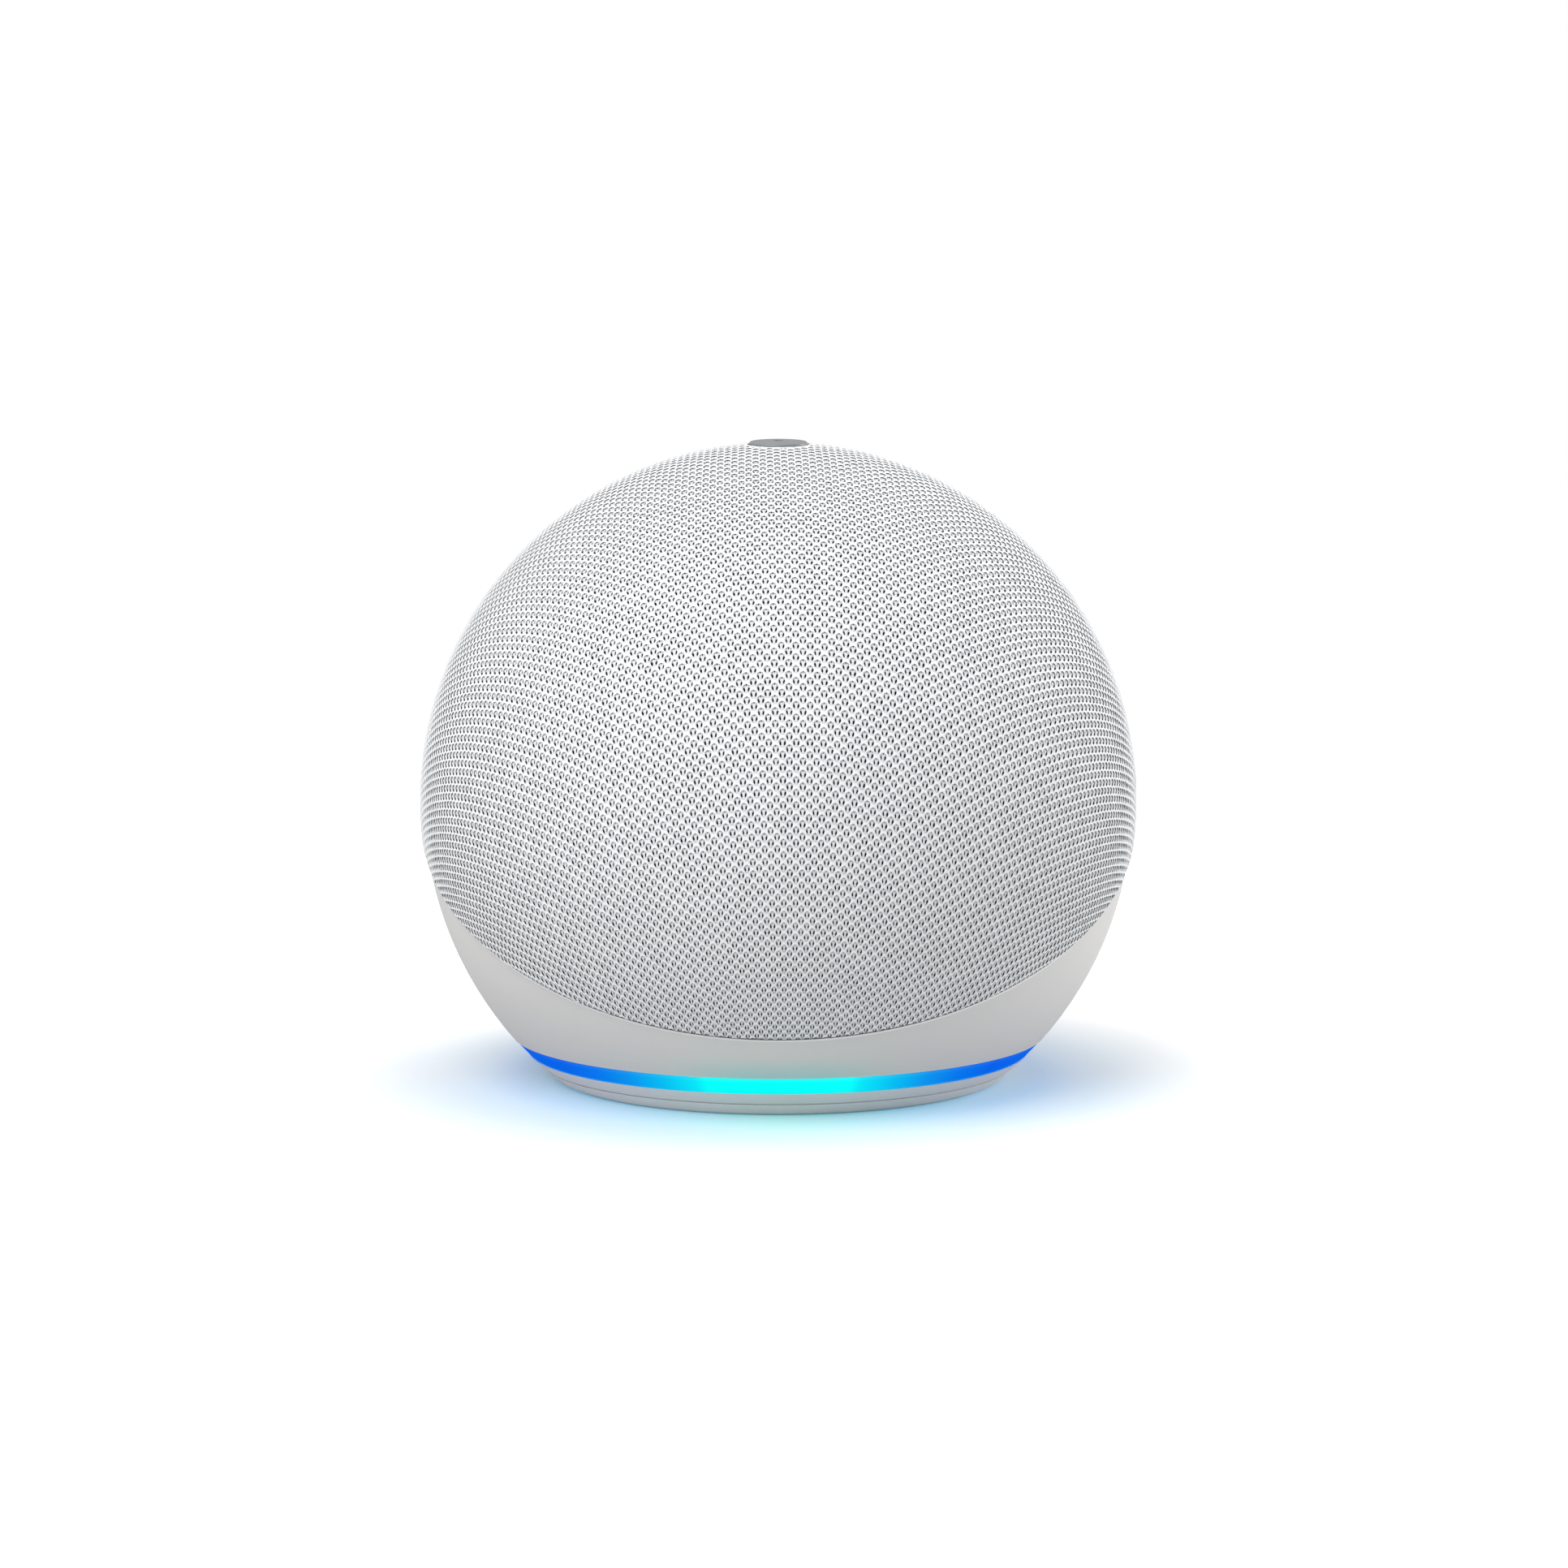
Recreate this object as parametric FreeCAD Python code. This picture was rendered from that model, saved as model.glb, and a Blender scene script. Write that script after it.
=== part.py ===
import FreeCAD
import Part

import math
import os

# A small ball-shaped smart speaker: a fabric-covered grille dome on a plastic bowl, a glowing ring
# and a rubber foot, with a sealed loudspeaker box, its driver, boards, jacks and four push buttons
# inside. Millimetres, +Z up, origin on the floor under the middle of the ball, front facing -Y.
# The dome's rim, the driver and the button group each lie in a tilted frame at the ball's centre.

Vector = FreeCAD.Vector
X_AXIS = Vector(1, 0, 0)
Y_AXIS = Vector(0, 1, 0)
Z_AXIS = Vector(0, 0, 1)
ORIGIN = Vector(0, 0, 0)
BEYOND = 200.0  # longer than anything here, for cutting tools

# Fits shared by several pieces
touch_gap = 0.05  # between curved skins that lie on each other
shaft_gap = 0.05  # radial, round a screw or a jack's nose
screw_radius = 1.1
screw_head_radius = 2.1
boss_radius = 2.5

# Ball
ball_radius = 50.0  # outside of the fabric
ball_height = 38.8  # ball centre above the floor
fabric_thickness = 0.9
dome_wall = 2.0
bowl_step = 0.6  # bowl inside the fabric, at the seam
bowl_drop = 0.5  # bowl centre below ball centre
bowl_wall = 2.2
seam_tilt = 30.8  # degrees the dome's axis leans forward
rim_above_ring = 5.88  # the low front point of the dome's rim above the light ring
seam_gap = 0.25
tongue_drop = 2.5  # below the rim plane, inside the bowl
tongue_rise = 3.45
tongue_thickness = 1.05
rim_round = 0.35

# Foot, base and light ring, as heights above the floor
foot_top = 1.8
base_floor_top = 3.35
ring_bottom = 3.6
ring_top = 6.08
foot_inner_radius = 25.0
foot_edge_round = 0.4
base_groove = 0.25
ring_inner_radius = 30.5
ring_ledge = 1.5  # how far the base carries the ring
ring_recess = 0.12  # ring face behind the ball's surface
ring_flange_top = 5.38
ring_wall = 4.2

# Light board
light_board_thickness = 0.8
light_board_inner = 16.0
light_board_gap = 0.5  # board edge to ring
led_count = 12
led_size = (2.0, 1.2, 0.8)  # along the ring, radial, height
led_gap = 0.3

# Bowl floor, bosses and posts
bowl_floor = 1.6
bowl_opening = 22.0
base_screw_circle = 27.0
base_screw_angles = (45.0, 135.0, 225.0, 315.0)
base_screw_head = 0.9
base_screw_length = 6.0
base_boss_top = 10.5
post_circle = 33.0
post_radius = 3.0
post_web = 4.0
post_screw_head = 1.5
post_screw_bite = 5.0

# Main board
board_height = 11.0
board_thickness = 1.2
board_radius = 29.0
board_tab_half_width = 13.0
board_tab_end = 35.5
board_screw_circle = 25.5
board_screw_angles = (30.0, 150.0, 210.0, 330.0)
board_screw_head = 1.3
board_screw_length = 4.0
board_pilot_floor = 0.6
chip_size = (12.0, 12.0, 1.2)
pad_thickness = 0.5
sink_size = (30.0, 24.0, 2.0)
sink_centre_y = -3.0
sink_fin_height = 5.1
sink_fins = 7
sink_fin_thickness = 1.2
sink_leg = 2.0
shield_size = (20.0, 16.0, 2.0)
shield_wall = 0.3
shield_centre = (-6.0, -4.0)
header_size = (3.0, 8.0)
header_x = 18.0

# Jacks and their recess in the back of the bowl
port_spacing = 16.0
port_recess_y = 38.6
port_recess_half_length = 15.0
port_recess_radius = 4.8
port_wall = 2.0
jack_height = 6.4
jack_back_y = 23.5
jack_body_gap = 0.2
jack_proud = 0.2
audio_width = 6.4
audio_nose_radius = 3.0
audio_bore_radius = 1.8
audio_bore_back_y = 24.5
power_width = 8.0
power_nose_radius = 3.0
power_bore_radius = 2.15
power_bore_back_y = 29.6
power_pin_radius = 0.8
power_pin_recess = 0.7

# Loudspeaker box
box_radius = 44.0
box_depth = 14.8  # floor below the ball's centre
box_top_gap = 3.8  # under the button board
box_wall = 2.0
box_split = 8.0  # along the driver's axis
box_lip = 2.0
box_lip_wall = 1.0
box_lip_gap = 0.1
box_boss_height = 5.0
washer_thickness = 1.0

# Driver, along its own axis from the ball's centre
driver_tilt = 15.0  # degrees it looks up
baffle_front = 30.0
gasket_thickness = 0.5
driver_half_width = 21.0
driver_corner = 8.0
flange_thickness = 1.5
driver_screw_half_spacing = 16.5
driver_screw_length = 5.0
driver_screw_head = 1.3
basket_radius = 17.6
basket_gap = 0.4
basket_wall = 1.2
basket_base_radius = 14.5
basket_foot = 20.0
basket_foot_thickness = 2.0
basket_windows = 4
basket_window = (9.0, 5.0)  # width, height along the axis
cone_rim_radius = 13.4
cone_neck = 26.0
cone_thickness = 0.6
surround_thickness = 0.5
surround_lip = 1.5
surround_roll_gap = 0.5
cap_rise = 2.2
cap_thickness = 0.4
former_radius = 6.2
former_wall = 0.3
former_end = 16.0
winding_thickness = 0.5
winding_height = 4.0
spider_height = 24.0
spider_thickness = 0.4
spider_ledge = 1.5
plate_thickness = 2.0
plate_radius = 12.5
coil_gap = 0.3
magnet_radius = 14.0
magnet_bore = 8.0
magnet_height = 7.0
yoke_radius = 13.5
yoke_thickness = 3.0
pole_gap = 0.5
terminal_size = (2.0, 8.0)  # radial, across

# Grille holes, in rings round the driver's axis
grille_hole_radius = 1.6
grille_rings = 6
grille_ring_step = 6.5  # degrees
grille_hole_spacing = 5.2

# Button group on top, in a frame that leans back
button_tilt = 6.4
button_circle = 10.0
button_radius = 4.0
button_raise = 0.0  # three caps lie flush with the fabric
action_raise = 0.3  # the front cap stands proud
button_gap = 0.25
button_round = 0.25
button_flange = 0.8
button_flange_thickness = 1.0
button_flange_gap = 0.16  # under the dome's wall
button_travel = 0.3
icon_depth = 0.15
icon_width = 0.7
icon_length = 3.2
stem_radius = 1.3
stem_length = 0.6
button_board_thickness = 1.2
button_board_radius = 17.0
button_boss_offset = 10.5
button_boss_radius = 2.2
button_screw_head = 1.2
button_screw_length = 3.6
switch_size = (5.2, 5.2, 1.5)
switch_hole_radius = 1.15
switch_hole_depth = 1.2
plunger_radius = 1.0
plunger_drop = 1.1
plunger_show = 0.4  # above its switch
mic_size = (3.0, 2.2, 1.0)
mic_circle = 15.3
mic_angle = 25.0
mic_port_radius = 0.5

# Ribbon cable down the left side
ribbon_width = 8.0
ribbon_thickness = 0.25
ribbon_bow = 0.24  # how far its arc passes outside the plug's end
ribbon_bend = 6.9
ribbon_start_gap = 0.1
ribbon_plug = (3.4, 9.0, 1.0)
ribbon_plug_x = -13.0
ribbon_socket = (3.5, 9.0, 1.4)
ribbon_socket_x = -27.5

# Loudspeaker leads, from the driver's terminals down to the main board
lead_radius = 0.5
lead_spacing = 2.2
lead_socket_size = (5.6, 4.0, 2.4)
lead_socket_centre = (13.0, -19.5)
lead_hole = (17.0, -17.5)
grommet_radius = 3.0
grommet_rim = 0.8
bend_share = 0.45  # of the shorter run, taken by an arc on each side of its point

# Heights and frames that follow from the sizes above
ball_centre = Vector(0, 0, ball_height)
bowl_centre = Vector(0, 0, ball_height - bowl_drop)
dome_frame = FreeCAD.Placement(ball_centre, FreeCAD.Rotation(X_AXIS, seam_tilt))
driver_frame = FreeCAD.Placement(ball_centre, FreeCAD.Rotation(X_AXIS, 90.0 - driver_tilt))
button_frame = FreeCAD.Placement(ball_centre, FreeCAD.Rotation(X_AXIS, -button_tilt))

dome_outer = ball_radius - fabric_thickness - touch_gap
dome_inner = dome_outer - dome_wall
bowl_radius = ball_radius - bowl_step
bowl_inner = bowl_radius - bowl_wall
front_rim_drop = ball_height - ring_top - rim_above_ring
front_rim_angle = math.degrees(math.asin(front_rim_drop / ball_radius))
seam_offset = ball_radius * math.sin(math.radians(seam_tilt - front_rim_angle))
screw_hole_radius = screw_radius + shaft_gap
bowl_floor_top = ring_top + bowl_floor
light_board_top = base_floor_top + light_board_thickness
board_top = board_height + board_thickness
port_height = board_top + jack_height / 2
port_face_y = port_recess_y + jack_proud
jack_front_y = port_recess_y - port_wall - jack_body_gap
flange_back = baffle_front + gasket_thickness
flange_front = flange_back + flange_thickness
plate_front = basket_foot - basket_foot_thickness
magnet_front = plate_front - plate_thickness
yoke_front = magnet_front - magnet_height
button_flange_reach = button_circle + button_radius + button_flange
button_flange_top = math.sqrt(dome_inner**2 - button_flange_reach**2) - button_flange_gap
stem_end = button_flange_top - button_flange_thickness - stem_length
button_board_top = stem_end - plunger_show - switch_size[2]
button_board_bottom = button_board_top - button_board_thickness
ribbon_start = ribbon_plug[0] + ribbon_start_gap - ribbon_plug_x
ribbon_arc_radius = math.hypot(ribbon_start, button_board_top + ribbon_plug[2] / 2) + ribbon_bow
box_floor = ball_height - box_depth
box_ceiling = ball_height + button_board_bottom - box_top_gap
post_top = box_floor - washer_thickness
spider_outer = basket_base_radius + spider_ledge - basket_wall
lead_socket_top = board_top + lead_socket_size[2]


def ball(radius, centre=ball_centre):
    return Part.makeSphere(radius, centre)


def cylinder(radius, height, base, axis=Z_AXIS):
    return Part.makeCylinder(radius, height, base, axis)


def block(size, centre, base):
    """A box of (x, y, z) size, centred on (x, y) and standing on the height base."""
    corner = Vector(centre[0] - size[0] / 2, centre[1] - size[1] / 2, base)
    return Part.makeBox(size[0], size[1], size[2], corner)


def in_frame(shape, frame):
    """A copy of a shape drawn in a tilted frame, placed in the part's frame."""
    placed = shape.copy()
    placed.Placement = frame.multiply(placed.Placement)
    return placed


def ring_solid(outer, inner, base, top):
    """A flat ring about the Z axis."""
    height = top - base
    return cylinder(outer, height, Vector(0, 0, base)).cut(cylinder(inner, height, Vector(0, 0, base)))


def turned(outline):
    """A closed outline of (radius, height) points, turned about the Z axis."""
    points = [Vector(r, 0, z) for r, z in outline]
    face = Part.Face(Part.makePolygon(points + points[:1]))
    return face.revolve(ORIGIN, Z_AXIS, 360)


def slab(frame, low, high):
    """All space between two heights of a frame."""
    size = 2 * BEYOND
    return in_frame(block((size, size, high - low), (0, 0), low), frame)


def fused(shapes):
    first, *rest = shapes
    return first.multiFuse(rest).removeSplitter() if rest else first


def on_circle(radius, angles, height=0.0):
    """Points on a circle about the Z axis, at angles in degrees."""
    turns = [math.radians(a) for a in angles]
    return [Vector(radius * math.cos(a), radius * math.sin(a), height) for a in turns]


def ball_profile(height):
    """The bowl's outside radius at a height above the floor, which the base follows too."""
    return math.sqrt(bowl_radius**2 - (height - bowl_centre.z) ** 2)


def pan_screw(tip, axis, shaft, head):
    """A screw whose head sits under `tip - shaft`, and whose shaft points along axis."""
    seat = tip - axis * shaft
    return cylinder(screw_radius, shaft, seat, axis).fuse(cylinder(screw_head_radius, head, seat, -axis))


def rounded_rim(solid, radius, frame, height, size):
    """Rounds the circular edges of a solid that lie at one height of a frame and have one radius."""
    plane = frame.inverse()
    edges = []
    for edge in solid.Edges:
        if isinstance(edge.Curve, Part.Circle) and abs(edge.Curve.Radius - radius) < 0.05:
            if abs(plane.multVec(edge.Curve.Center).z - height) < 0.05:
                edges.append(edge)
    return solid.makeFillet(size, edges)


# --- Foot, base, light ring ---------------------------------------------------------------------


def foot_ring():
    edge = foot_edge_round
    outline = [
        (foot_inner_radius, 0),
        (ball_profile(0) - edge, 0),
        (ball_profile(edge), edge),
        (ball_profile(foot_top), foot_top),
        (foot_inner_radius, foot_top),
    ]
    return turned(outline)


def base_cover():
    """The base's floor and its outside band. Its screws hide under the foot."""
    rise = foot_top + base_groove
    ledge = ring_inner_radius + ring_ledge
    outline = [
        (0, foot_top),
        (ball_profile(foot_top) - base_groove, foot_top),
        (ball_profile(rise), rise),
        (ball_profile(ring_bottom), ring_bottom),
        (ledge, ring_bottom),
        (ledge, base_floor_top),
        (0, base_floor_top),
    ]
    cover = turned(outline)
    for spot in on_circle(base_screw_circle, base_screw_angles, foot_top):
        cover = cover.cut(cylinder(screw_head_radius + touch_gap, base_screw_head, spot))
        cover = cover.cut(cylinder(screw_hole_radius, base_floor_top, spot))
    return cover


def base_screws():
    seat = foot_top + base_screw_head
    tips = on_circle(base_screw_circle, base_screw_angles, seat + base_screw_length)
    return Part.makeCompound([pan_screw(p, Z_AXIS, base_screw_length, base_screw_head) for p in tips])


def light_ring():
    """A clear ring that shows as a band, with a flange that takes the light in at its inner edge."""
    rise = ring_top - ring_bottom

    def face(share, inset):
        height = ring_bottom + share * rise
        return ball_profile(height) - inset, height

    outline = [
        (ring_inner_radius, ring_bottom),
        face(0.0, 2 * ring_recess),
        face(0.12, ring_recess),
        face(0.72, ring_recess),
        face(1.0, 3 * ring_recess),
        (ball_profile(ring_top) - ring_wall, ring_top),
        (ball_profile(ring_top) - ring_wall, ring_flange_top),
        (ring_inner_radius, ring_flange_top),
    ]
    return turned(outline)


def light_board():
    board = ring_solid(ring_inner_radius - light_board_gap, light_board_inner, base_floor_top, light_board_top)
    for spot in on_circle(base_screw_circle, base_screw_angles, base_floor_top):
        board = board.cut(cylinder(screw_hole_radius, light_board_thickness, spot))
    return board


def light_leds():
    along, radial, height = led_size
    middle = ring_inner_radius - led_gap - radial / 2
    led = block((radial, along, height), (middle, 0), light_board_top)
    leds = []
    for k in range(led_count):
        one = led.copy()
        one.rotate(ORIGIN, Z_AXIS, 360.0 * k / led_count)
        leds.append(one)
    return Part.makeCompound(leds)


def light_board_header():
    """The pin header that joins the light board to the main board through the bowl's opening."""
    size = (*header_size, board_height - light_board_top)
    return block(size, (header_x, 0), light_board_top)


# --- Bowl -----------------------------------------------------------------------------------------


def port_recess(grow, back_y):
    """The long round-ended recess for the plugs, from back_y outwards, grown all round."""
    radius = port_recess_radius + grow
    middle = port_recess_half_length - port_recess_radius
    ends = [cylinder(radius, BEYOND, Vector(x, back_y, port_height), Y_AXIS) for x in (-middle, middle)]
    corner = Vector(-middle, back_y, port_height - radius)
    return fused([*ends, Part.makeBox(2 * middle, BEYOND, 2 * radius, corner)])


def lower_bowl():
    outside = ball(bowl_radius, bowl_centre)
    wall = outside.cut(ball(bowl_inner, bowl_centre))
    floor = ring_solid(bowl_radius, bowl_opening, ring_top, bowl_floor_top)
    additions = [floor, port_recess(port_wall, port_recess_y - port_wall)]
    for spot in on_circle(base_screw_circle, base_screw_angles, light_board_top):
        additions.append(cylinder(boss_radius, base_boss_top - light_board_top, spot))
    for spot in on_circle(board_screw_circle, board_screw_angles, ring_top):
        additions.append(cylinder(boss_radius, board_height - ring_top, spot))
    for spot in on_circle(post_circle, base_screw_angles, ring_top):
        additions.append(cylinder(post_radius, post_top - ring_top, spot))
    bowl = wall.multiFuse([piece.common(outside) for piece in additions])
    bowl = bowl.cut(port_recess(0, port_recess_y))
    holes = [jack_hole(1, audio_nose_radius), jack_hole(-1, power_nose_radius)]
    for spot in on_circle(base_screw_circle, base_screw_angles, light_board_top):
        holes.append(cylinder(screw_hole_radius, base_boss_top - light_board_top - board_pilot_floor, spot))
    pilot_base = bowl_floor_top - board_pilot_floor
    for spot in on_circle(board_screw_circle, board_screw_angles, pilot_base):
        holes.append(cylinder(screw_hole_radius, board_height - pilot_base, spot))
    for spot in on_circle(post_circle, base_screw_angles, ring_top):
        holes.append(cylinder(screw_hole_radius, BEYOND, spot))
        holes.append(cylinder(screw_head_radius + button_gap, post_top - post_web - ring_top, spot))
    bowl = bowl.cut(Part.makeCompound(holes))
    below_rim = slab(dome_frame, -BEYOND, seam_offset)
    bosses_low = ring_solid(ring_inner_radius - light_board_gap, 0.1, light_board_top, ring_top)
    above_ring = block((BEYOND, BEYOND, BEYOND), (0, 0), ring_top)
    bowl = bowl.common(below_rim).common(above_ring.fuse(bosses_low)).removeSplitter()
    rim_radius = rim_circle(bowl_radius)
    return rounded_rim(bowl, rim_radius, dome_frame, seam_offset, rim_round)


def rim_circle(radius):
    """The radius of the circle in which the rim plane cuts a ball on the bowl's centre."""
    height = seam_offset - dome_frame.inverse().multVec(bowl_centre).z
    return math.sqrt(radius**2 - height**2)


def jack_hole(side, nose_radius):
    start = Vector(side * port_spacing / 2, port_recess_y - port_wall - 1, port_height)
    return cylinder(nose_radius + shaft_gap, port_wall + 2, start, Y_AXIS)


# --- Dome and fabric ------------------------------------------------------------------------------


def button_spots():
    """The four buttons in the button frame: name, x, y."""
    c = button_circle
    return [
        ("volume_up", c, 0.0),
        ("mic_off", 0.0, c),
        ("volume_down", -c, 0.0),
        ("action", 0.0, -c),
    ]


def button_openings():
    """Round openings for the four buttons, through the dome and the fabric."""
    radius = button_radius + button_gap
    return [
        in_frame(cylinder(radius, BEYOND, Vector(x, y, button_board_top)), button_frame)
        for _, x, y in button_spots()
    ]


def grille_holes():
    """Radial holes in rings round the driver's axis, the same distance apart in every ring."""
    outward = Vector(0, 0, dome_inner - 2)
    hole = cylinder(grille_hole_radius, dome_wall + 5, outward)
    holes = []
    for ring in range(grille_rings):
        lean = ring * grille_ring_step
        around = 2 * math.pi * dome_outer * math.sin(math.radians(lean))
        count = max(1, round(around / grille_hole_spacing))
        for k in range(count):
            one = hole.copy()
            one.rotate(ORIGIN, X_AXIS, lean)
            one.rotate(ORIGIN, Z_AXIS, 360.0 * k / count)
            holes.append(in_frame(one, driver_frame))
    return holes


def button_boss_spots(height):
    o = button_boss_offset
    return [Vector(x, y, height) for x in (-o, o) for y in (-o, o)]


def grille_dome():
    """The dome wall, its tongue inside the bowl's rim, and bosses for the button board."""
    wall = ball(dome_outer).cut(ball(dome_inner)).common(slab(dome_frame, seam_offset + seam_gap, BEYOND))
    tongue_inner = dome_inner - tongue_thickness
    tongue_outer = bowl_inner - bowl_drop - touch_gap
    tongue_top = seam_offset + tongue_rise
    tongue = ball(tongue_outer).cut(ball(tongue_inner))
    tongue = tongue.common(slab(dome_frame, seam_offset - tongue_drop, tongue_top))
    collar = ball(dome_outer - 0.5).cut(ball(tongue_inner))
    collar = collar.common(slab(dome_frame, seam_offset + seam_gap, tongue_top))
    bosses = []
    for spot in button_boss_spots(button_board_top):
        boss = cylinder(button_boss_radius, dome_inner - button_board_top, spot)
        bosses.append(in_frame(boss, button_frame).common(ball(dome_outer - 0.5)))
    dome = wall.multiFuse([tongue, collar, *bosses])
    cuts = button_openings() + grille_holes()
    for spot in button_boss_spots(button_board_top):
        cuts.append(in_frame(cylinder(screw_hole_radius, button_screw_length, spot), button_frame))
    for spot in on_circle(mic_circle, mic_angles(), button_board_top):
        cuts.append(in_frame(cylinder(mic_port_radius, BEYOND, spot), button_frame))
    return dome.cut(Part.makeCompound(cuts)).removeSplitter()


def fabric_cover():
    skin = ball(ball_radius).cut(ball(ball_radius - fabric_thickness))
    skin = skin.common(slab(dome_frame, seam_offset + seam_gap, BEYOND))
    return skin.cut(Part.makeCompound(button_openings()))


# --- Buttons --------------------------------------------------------------------------------------


def icon(name, x, y):
    """A shallow generic mark: plus, minus, dot, or a slashed ring for the microphone switch."""
    base = ball_radius - 3
    height = 4.0
    bar = block((icon_length, icon_width, height), (x, y), base)
    if name == "volume_down":
        return bar
    if name == "volume_up":
        return bar.fuse(block((icon_width, icon_length, height), (x, y), base))
    if name == "action":
        return cylinder(icon_width, height, Vector(x, y, base))
    outer = icon_length / 2
    ring = cylinder(outer, height, Vector(x, y, base)).cut(
        cylinder(outer - icon_width / 2, height, Vector(x, y, base))
    )
    slash = block((2 * outer, icon_width / 2, height), (x, y), base)
    slash.rotate(Vector(x, y, 0), Z_AXIS, 45)
    return ring.fuse(slash)


def button(name, x, y):
    """A cap that follows the ball, a flange that keeps it in, and a stem on the switch."""
    middle = Vector(x, y, 0)
    top_radius = ball_radius + (action_raise if name == "action" else button_raise)
    flange_base = button_flange_top - button_flange_thickness
    cap = cylinder(button_radius, BEYOND, middle + Z_AXIS * flange_base)
    cap = cap.common(ball(top_radius, ORIGIN))
    top_edges = [e for e in cap.Edges if e.BoundBox.ZMin > button_flange_top and not e.isSeam(cap.Faces[0])]
    rims = [e for e in top_edges if e.isClosed()]
    cap = cap.makeFillet(button_round, rims) if rims else cap
    flange_radius = button_radius + button_flange
    flange = cylinder(flange_radius, button_flange_thickness, middle + Z_AXIS * flange_base)
    stem = cylinder(stem_radius, stem_length, middle + Z_AXIS * stem_end)
    below_surface = ball(top_radius - icon_depth, ORIGIN)
    mark = icon(name, x, y).cut(below_surface)
    return in_frame(fused([cap, flange, stem]).cut(mark), button_frame)


def plunger(x, y):
    """The moving pin of a tact switch, which travels with its button."""
    return in_frame(cylinder(plunger_radius, plunger_drop, Vector(x, y, stem_end - plunger_drop)), button_frame)


def tact_switches():
    switches = []
    for _, x, y in button_spots():
        body = block(switch_size, (x, y), button_board_top)
        hole_base = button_board_top + switch_size[2] - switch_hole_depth
        switches.append(body.cut(cylinder(switch_hole_radius, switch_hole_depth, Vector(x, y, hole_base))))
    return in_frame(Part.makeCompound(switches), button_frame)


def mic_angles():
    return [mic_angle + 90 * k for k in range(4)]


def button_board():
    board = cylinder(button_board_radius, button_board_thickness, Vector(0, 0, button_board_bottom))
    for spot in button_boss_spots(button_board_bottom):
        board = board.cut(cylinder(screw_hole_radius, button_board_thickness, spot))
    return in_frame(board, button_frame)


def button_board_screws():
    shaft = button_board_thickness + button_screw_length - 0.4
    tips = button_boss_spots(button_board_bottom + shaft)
    screws = [pan_screw(p, Z_AXIS, shaft, button_screw_head) for p in tips]
    return in_frame(Part.makeCompound(screws), button_frame)


def microphones():
    spots = on_circle(mic_circle, mic_angles())
    mics = [block(mic_size, (p.x, p.y), button_board_top) for p in spots]
    return in_frame(Part.makeCompound(mics), button_frame)


# --- Ribbon cable ---------------------------------------------------------------------------------


def ribbon_connectors():
    """The plug on the button board and the socket on the main board."""
    plug = block(ribbon_plug, (ribbon_plug_x - ribbon_plug[0] / 2, 0), button_board_top)
    socket_x = ribbon_socket_x + ribbon_socket[0] / 2
    socket = block(ribbon_socket, (socket_x, ribbon_y()), board_top)
    return in_frame(plug, button_frame), socket


def ribbon_y():
    """The ribbon lies in a plane of constant Y, through the middle of its plug."""
    middle = button_board_top + ribbon_plug[2] / 2
    return middle * math.sin(math.radians(button_tilt))


def ribbon_cable():
    """A flat cable: an arc round the box, a bend inwards, and a straight end into the socket."""
    start = math.asin(ribbon_start / ribbon_arc_radius)
    level = board_top + ribbon_socket[2] / 2
    bend_height = level + ribbon_bend
    # the bend's centre lies on the line from the ball's centre to the arc's end
    heading = math.acos((ball_height - bend_height) / (ribbon_arc_radius - ribbon_bend))
    end = math.pi - heading
    bend_centre_x = (ribbon_bend - ribbon_arc_radius) * math.sin(heading)
    half = ribbon_thickness / 2
    front = ribbon_y() - ribbon_width / 2

    def on_arc(angle, offset):
        r = ribbon_arc_radius + offset
        return Vector(-r * math.sin(angle), front, ball_height + r * math.cos(angle))

    def on_bend(turn, offset):
        r = ribbon_bend + offset
        return Vector(bend_centre_x - r * math.sin(turn), front, bend_height - r * math.cos(turn))

    def side(offset):
        bend_offset = offset
        arc = Part.Arc(on_arc(start, offset), on_arc((start + end) / 2, offset), on_arc(end, offset))
        curve = Part.Arc(
            on_bend(heading, bend_offset), on_bend(heading / 2, bend_offset), on_bend(0, bend_offset)
        )
        tail = Vector(ribbon_socket_x, front, level - offset)
        return [arc.toShape(), curve.toShape(), Part.makeLine(on_bend(0, bend_offset), tail)]

    outer, inner = side(half), side(-half)
    caps = [
        Part.makeLine(on_arc(start, half), on_arc(start, -half)),
        Part.makeLine(
            Vector(ribbon_socket_x, front, level - half), Vector(ribbon_socket_x, front, level + half)
        ),
    ]
    outline = Part.Wire(Part.__sortEdges__([*outer, *inner, *caps]))
    return Part.Face(outline).extrude(Y_AXIS * ribbon_width)


# --- Main board -----------------------------------------------------------------------------------


def main_board():
    disc = cylinder(board_radius, board_thickness, Vector(0, 0, board_height))
    tab = Part.makeBox(
        2 * board_tab_half_width, board_tab_end, board_thickness, Vector(-board_tab_half_width, 0, board_height)
    )
    board = disc.fuse(tab).removeSplitter()
    for spot in on_circle(board_screw_circle, board_screw_angles, board_height):
        board = board.cut(cylinder(screw_hole_radius, board_thickness, spot))
    return board


def main_board_screws():
    shaft = board_screw_length
    tips = on_circle(board_screw_circle, board_screw_angles, board_top - shaft)
    return Part.makeCompound([pan_screw(p, -Z_AXIS, shaft, board_screw_head) for p in tips])


def processor_chip():
    return block(chip_size, (0, sink_centre_y), board_top)


def thermal_pad():
    size = (chip_size[0], chip_size[1], pad_thickness)
    return block(size, (0, sink_centre_y), board_top + chip_size[2])


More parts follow.
